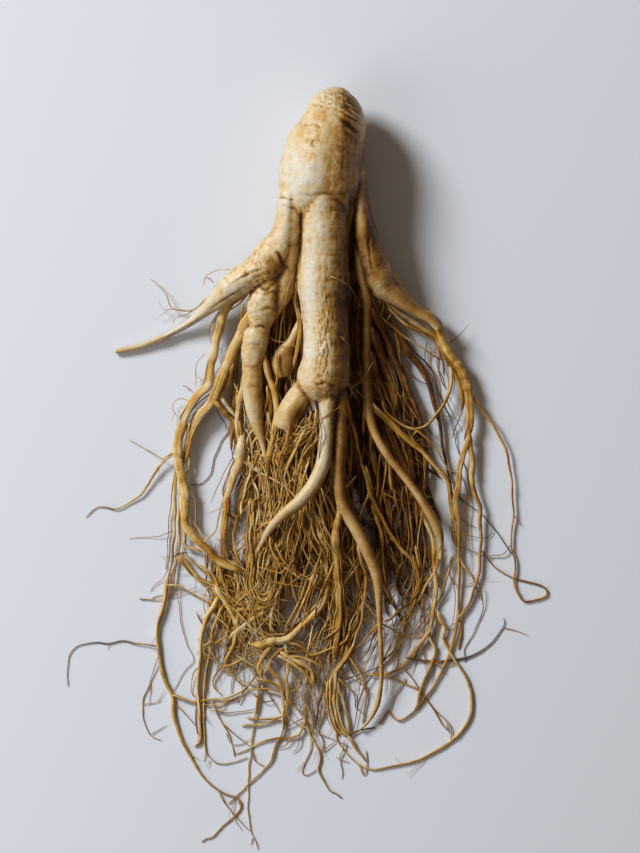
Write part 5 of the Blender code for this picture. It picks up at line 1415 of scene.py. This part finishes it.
LOWER_LEFT_TANGLE = [
    (GOLD, 2.2, 1.4, 0.8, 0.8, [(-30, -57), (-27, -56), (-20, -55.5), (-14, -53.5), (-11, -52)]),
    (CREAM, 2.5, 1.6, 0.7, 0.7, [(-32, -68), (-29, -65), (-24, -61), (-20, -58), (-16, -55.5),
     (-12, -54)]),
    (GOLD, 3.0, 2.0, 0.6, 0.5, [(-38, -44), (-36, -48), (-33, -53), (-30, -58), (-28, -62), (-29, -66),
     (-30, -70), (-32, -74), (-34, -78)]),
    (OCHRE, 1.6, 1.1, 0.6, 0.7, [(-35, -80), (-34, -79), (-30, -77.5), (-25, -75), (-20, -73),
     (-16, -71.5), (-12, -71)]),
    (OCHRE, 1.3, 0.9, 0.5, 0.5, [(-34, -78), (-33, -80), (-30, -82.5), (-27, -85.5), (-24, -87)]),
    (OCHRE, 1.3, 0.8, 0.5, 0.3, [(-34, -78), (-36, -80), (-38, -84), (-37.5, -87), (-34, -90.5)]),
    (GOLD, 1.5, 1.0, 0.4, 0.6, [(-35, -91), (-33, -91), (-29, -89.5), (-25.5, -87.5), (-22, -84),
     (-20.5, -81)]),
    (GOLD, 2.0, 1.4, 0.8, 0.8, [(-14, -70), (-16, -72), (-18, -75), (-20, -79), (-19, -82),
     (-17, -80), (-15, -76), (-12, -72.5), (-9, -71)]),
    (OCHRE, 1.2, 0.8, 0.6, 0.6, [(-25, -88), (-22, -88), (-16, -87.5), (-11, -89)]),
    (OCHRE, 2.0, 1.3, 0.6, 0.6, [(-20, -83), (-18, -84), (-14, -85.5), (-11, -87.5), (-9, -91)]),
    (OCHRE, 1.4, 0.9, 0.6, 0.4, [(-18, -77), (-19, -80), (-19.5, -86), (-20, -92), (-20.5, -98)]),
    (GOLD, 1.8, 1.2, 0.7, 0.4, [(-16, -77), (-15, -80), (-12, -83), (-10.5, -87), (-10, -93),
     (-10.5, -98), (-14, -99.5), (-20, -100), (-25, -99)]),
    (OCHRE, 1.4, 0.9, 0.4, 0.6, [(-43, -74), (-42, -72), (-39, -70), (-36, -69), (-33, -66.5),
     (-30, -66)]),
    (OCHRE, 1.2, 0.8, 0.4, 0.4, [(-40, -70), (-39, -72), (-36.5, -76), (-33.5, -79.5)]),
    (BROWN, 1.0, 0.6, 0.5, 0.4, [(-24, -87), (-26, -89), (-28, -94)]),
    (BROWN, 1.0, 0.6, 0.5, 0.5, [(-22, -90), (-20, -91), (-17, -92.5), (-13, -92)]),
    (GOLD, 1.6, 1.1, 0.8, 0.7, [(-52, -33), (-50, -36), (-47, -40), (-44, -43.5), (-40, -46),
     (-37, -48), (-35, -50), (-33, -53)]),
    (OCHRE, 1.3, 0.9, 0.8, 0.7, [(-50, -34), (-48, -38), (-44, -42), (-40, -44.5), (-35, -47),
     (-31, -51)]),
    (GOLD, 1.4, 0.9, 0.8, 0.7, [(-50, -32), (-48, -34.5), (-44, -38.5), (-38, -45), (-34, -50)]),
    (DARK, 1.0, 0.7, 0.8, 0.8, [(-46, -31.5), (-47.5, -31), (-49, -30)]),
    (DARK, 1.1, 0.7, 0.8, 0.6, [(-48, -33), (-52, -33.5), (-54, -35)]),
    (OCHRE, 1.8, 1.2, 0.8, 0.7, [(-36, -36), (-35, -40), (-34.5, -44), (-33, -47.5), (-32, -54)]),
    (GOLD, 2.0, 1.4, 0.8, 0.6, [(-30, -36), (-29, -40), (-28, -45), (-27.8, -52), (-28, -58),
     (-28, -64), (-29, -70)]),
    (OCHRE, 1.4, 0.9, 0.8, 0.8, [(-23, -38), (-24, -41), (-25, -46), (-27.5, -48), (-31, -49)]),
    (GOLD, 2.6, 1.4, 0.5, 0.1, [(-36, -50), (-37.5, -54), (-40, -58), (-41.5, -63), (-43, -69),
     (-43.5, -76), (-44, -84), (-44, -92), (-43.5, -100), (-43, -108), (-45.5, -111)]),
    (OCHRE, 1.2, 0.7, 0.4, 0.1, [(-42.5, -66), (-42, -72), (-40.5, -80), (-42, -90), (-42, -100),
     (-42.6, -106)]),
    (OCHRE, 1.4, 0.8, 0.5, 0.2, [(-34, -54), (-36, -58), (-38, -64), (-39.5, -71), (-41, -86),
     (-41.6, -96)]),
    (BROWN, 0.9, 0.6, 0.3, 0.1, [(-44.2, -84), (-44.5, -90), (-45.2, -98), (-44.3, -106)]),
    (BROWN, 0.8, 0.5, 0.3, 0.1, [(-44, -79), (-46, -82), (-47, -88), (-46, -91)]),
    (OCHRE, 1.1, 0.6, 0.3, 0.2, [(-41, -80), (-41.5, -86), (-42, -100), (-41.5, -106), (-41, -112),
     (-38, -116.5), (-34, -118), (-29, -117), (-24, -114.8)]),
    (BROWN, 0.7, 0.4, 0.1, 0.0, [(-41.5, -108), (-41, -112), (-42, -117)]),
    (OCHRE, 1.6, 1.0, 0.2, 0.5, [(-55, -89.6), (-54, -90), (-50, -91.5), (-46, -92.8), (-42, -92.3),
     (-37, -91.5), (-33, -92.5), (-28, -91)]),
    (OCHRE, 1.0, 0.7, 0.4, 0.5, [(-45, -95), (-43, -94.5), (-38, -94), (-33, -92.8), (-29, -92)]),
    (OCHRE, 1.0, 0.6, 0.4, 0.1, [(-39, -92), (-38, -94), (-36.5, -98), (-34, -102), (-32, -105),
     (-31, -109), (-29.5, -115)]),
    (BROWN, 0.8, 0.5, 0.3, 0.2, [(-35, -101), (-33, -102.5), (-29, -106), (-22, -112)]),
    (BROWN, 0.8, 0.5, 0.3, 0.4, [(-39, -96), (-37, -96.5), (-32, -97.5), (-24, -96), (-19, -95)]),
    (BROWN, 0.8, 0.5, 0.1, 0.2, [(-54.5, -92), (-54, -93), (-50, -97), (-47, -100), (-44.5, -103)]),
    (BROWN, 0.6, 0.4, 0.3, 0.1, [(-52, -44), (-52.5, -48), (-51.5, -56), (-50.5, -63), (-48.5, -70),
     (-46, -76), (-49, -80), (-52, -85), (-54, -88.5)]),
    (OCHRE, 1.3, 0.9, 0.4, 0.6, [(-57.6, -46), (-56, -46), (-52, -46.5), (-48, -48.5), (-43, -51),
     (-39, -53.5), (-34, -56)]),
]
BUN_LOOPS, BUN_MIDDLE, BUN_HALF_WIDTH, BUN_DEPTH = 9, (-17.6, -44), 5.0, 9.5


def looped_bun(count, middle, half_width, depth):
    """Nested loops of fine rootlets, like a small bun of hair."""
    loops = []
    for number in range(count):
        f = 0.18 + 0.82 * number / (count - 1)
        x, y = middle
        side, low = half_width * f, depth * f
        reach = 16 + 9 * abs(sin(2.4 * number))
        loops.append((GOLD, 1.15, 0.8, 0.70 + 0.30 * f, 0.90, [
            (x - 1.6 * side + 3 * f, y + reach + 8), (x - 1.1 * side, y + reach), (x - side, y + 5),
            (x - side, y), (x - 0.65 * side, y - 0.7 * low), (x, y - low),
            (x + 0.65 * side, y - 0.62 * low), (x + side, y + 2), (x + 1.1 * side, y + 10),
            (x + 1.5 * side + 1, y + 32 - reach), (x + 1.9 * side + 3, y + 42 - reach)]))
    return loops


LOWER_LEFT_TANGLE += looped_bun(BUN_LOOPS, BUN_MIDDLE, BUN_HALF_WIDTH, BUN_DEPTH)
for piece in grow("lower_left_tangle", LOWER_LEFT_TANGLE, seed=26, fine_beside=True):
    grow_on_root(piece)


# ---------------------------------------------------------------- top hairs
# Fine hairs that lie on the legs and on top of the fan.

TOP_HAIRS = [
    (OCHRE, 0.8, 0.5, OVER, OVER, [(31, 51), (29, 50), (27, 48), (26, 43), (21.5, 36), (17.5, 33),
     (17.3, 30.5), (13, 26), (8, 22.5), (4.5, 20), (0, 18), (-3, 17)]),
    (GOLD, 1.1, 0.7, OVER, OVER, [(0.5, 83.5), (4, 81), (8, 78), (12, 76), (15, 74.5), (17.5, 72),
     (19, 68.5), (20.5, 66.3), (22, 66)]),
    (OCHRE, 0.6, 0.4, OVER, OVER, [(8, 62), (9, 57), (12, 54), (15.5, 50.5), (17, 48), (17.5, 45)]),
    (BROWN, 0.7, 0.4, OVER, OVER, [(-16, 54), (-13.5, 52), (-9, 51), (-5.5, 49.5), (-3, 47.5)]),
    (GOLD, 0.6, 0.4, OVER, OVER, [(-4, 92), (-4.6, 84), (-6, 78), (-8, 73), (-9.4, 66)]),
    (GOLD, 0.7, 0.5, OVER, OVER, [(-10, 24), (-6, 19), (-1, 17), (3, 18), (5, 21)]),
    (GOLD, 0.6, 0.4, OVER, OVER, [(-12, 22), (-9, 16), (-4, 14.5), (1, 16), (4, 20)]),
    (GOLD, 0.6, 0.4, OVER, OVER, [(-11, 18), (-8, 13), (-4, 12), (0, 14.6), (3.6, 19)]),
    (OCHRE, 0.6, 0.4, OVER, OVER, [(-14, 17), (-11, 12.4), (-7, 10), (-3, 12), (1, 15)]),
    (OCHRE, 0.5, 0.3, OVER, OVER, [(18, 112), (20, 106), (20.6, 99), (22.4, 92), (23, 86)]),
]
for piece in grow("top_hairs", TOP_HAIRS, seed=27, fine_beside=False):
    grow_on_root(piece)


# ---------------------------------------------------------------- felt
# The countless finest rootlets between the others: dark ones deep in the fan, which block the light and are
# coloured dark as painted shade where the fan lies in shadow, and pale ones nearer its top.

# Each patch: count, tone, middle, half size, heading and its scatter in degrees, lengths, widths,
# heights as a share of the heap's.
SHADE_FELTS = [
    (54, 0.28, (26, 22), (6, 15), -80, 6, (34, 60), (1.2, 2.8), (0.0, 0.4)),
    (30, 0.32, (38, 4), (8, 16), -68, 7, (34, 60), (1.0, 2.4), (0.0, 0.4)),
    (40, 0.30, (36, -26), (9, 18), -72, 9, (30, 60), (1.0, 2.2), (0.0, 0.4)),
    (50, 0.28, (-11, 42), (5, 20), -97, 8, (25, 50), (0.8, 2.0), (0.0, 0.35)),
    (64, 0.30, (-12, -4), (8, 18), -94, 12, (24, 50), (0.8, 2.0), (0.0, 0.35)),
    (50, 0.28, (8, -36), (9, 24), -88, 10, (24, 50), (0.8, 1.8), (0.0, 0.35)),
    (44, 0.30, (-22, -50), (7, 12), -72, 22, (16, 36), (0.7, 1.6), (0.0, 0.45)),
]
FINE_FELTS = [
    (40, 0.70, (-14, -8), (8, 20), -94, 14, (34, 66), (0.7, 1.5), (0.6, 1.1)),
    (30, 0.68, (6, -28), (10, 20), -86, 13, (34, 66), (0.7, 1.5), (0.5, 1.0)),
    (66, 0.80, (-13, -6), (8, 20), -94, 18, (30, 64), (0.35, 0.8), (0.7, 1.15)),
    (50, 0.74, (6, -22), (10, 22), -86, 16, (30, 64), (0.35, 0.8), (0.6, 1.1)),
    (64, 0.76, (-24, -54), (7, 12), -66, 28, (22, 48), (0.3, 0.8), (0.6, 1.15)),
    (24, 0.72, (-36, -58), (4, 14), -82, 12, (18, 40), (0.5, 1.1), (0.3, 1.1)),
    (24, 0.76, (-24, -76), (9, 8), -50, 24, (14, 34), (0.3, 0.65), (0.5, 1.15)),
    (60, 0.66, (10, -62), (13, 18), -98, 16, (24, 56), (0.3, 0.7), (0.3, 1.0)),
    (16, 0.80, (36, 20), (8, 12), -60, 14, (24, 50), (0.25, 0.4), (0.6, 1.1)),
    (36, 0.66, (40, -56), (11, 18), -100, 14, (24, 50), (0.3, 0.55), (0.2, 1.0)),
    (36, 0.68, (0, -90), (12, 9), -85, 20, (12, 34), (0.25, 0.55), (0.2, 1.0)),
]
# Places inside the fan where the felt leaves the floor bare: x, y, radius.
BARE_PLACES = [(-27.6, -26.6, 4.2), (2.4, -43.0, 2.2), (-9.6, -54.0, 2.0), (-12.8, 56.0, 2.4)]
FELT_STEP = 1.1
FELT_AROUND = 5


def felt(rng, count, tone, middle, half_size, heading, scatter, length, thick, levels):
    """Fine rootlets that lie about one way in one part of the fan."""
    made = []
    for _ in range(count):
        reach = rng.uniform(*length)
        steps = max(6, int(reach / FELT_STEP))
        run = np.linspace(0, reach, steps)
        turning = radians(rng.normal(heading, scatter)) + 0.34 * ripple(run, 36.0, rng)
        path = np.zeros((steps, 3))
        for axis, step in enumerate((np.cos(turning), np.sin(turning))):
            course = np.cumsum(step) * reach / steps
            path[:, axis] = middle[axis] + rng.normal(0, half_size[axis] / 1.6) + course - course.mean()
        if any(np.hypot(path[:, 0] - bare_x, path[:, 1] - bare_y).min() < size
               for bare_x, bare_y, size in BARE_PLACES):
            continue
        depth = rng.uniform(*levels)
        share = run / reach
        radius = rng.uniform(*thick) / 2 * (1 - 0.6 * share ** 1.5)
        radius *= np.sqrt(np.clip(np.minimum(run, reach - run) / 3, 0.03, 1))
        level = depth + rng.normal(0, 0.12) * share
        path[:, 2] = np.maximum(level * heap_height(path[:, 0], path[:, 1]), FLOOR_CLEARANCE) + radius
        # painted shade: the deeper in the heap, the darker the colour
        shade = tone * (0.55 + 0.45 * min(depth, 1.0)) + rng.normal(0, 0.13)
        made.append(ringed(rng, path, radius, run, share, shade, FELT_AROUND))
    return made


for name, patches, seed in (("shade_felt", SHADE_FELTS, 77), ("fine_felt", FINE_FELTS, 78)):
    rng = np.random.default_rng(seed)
    hairs = []
    for patch in patches:
        hairs += felt(rng, *patch)
    grow_on_root(bundle(name, hairs))
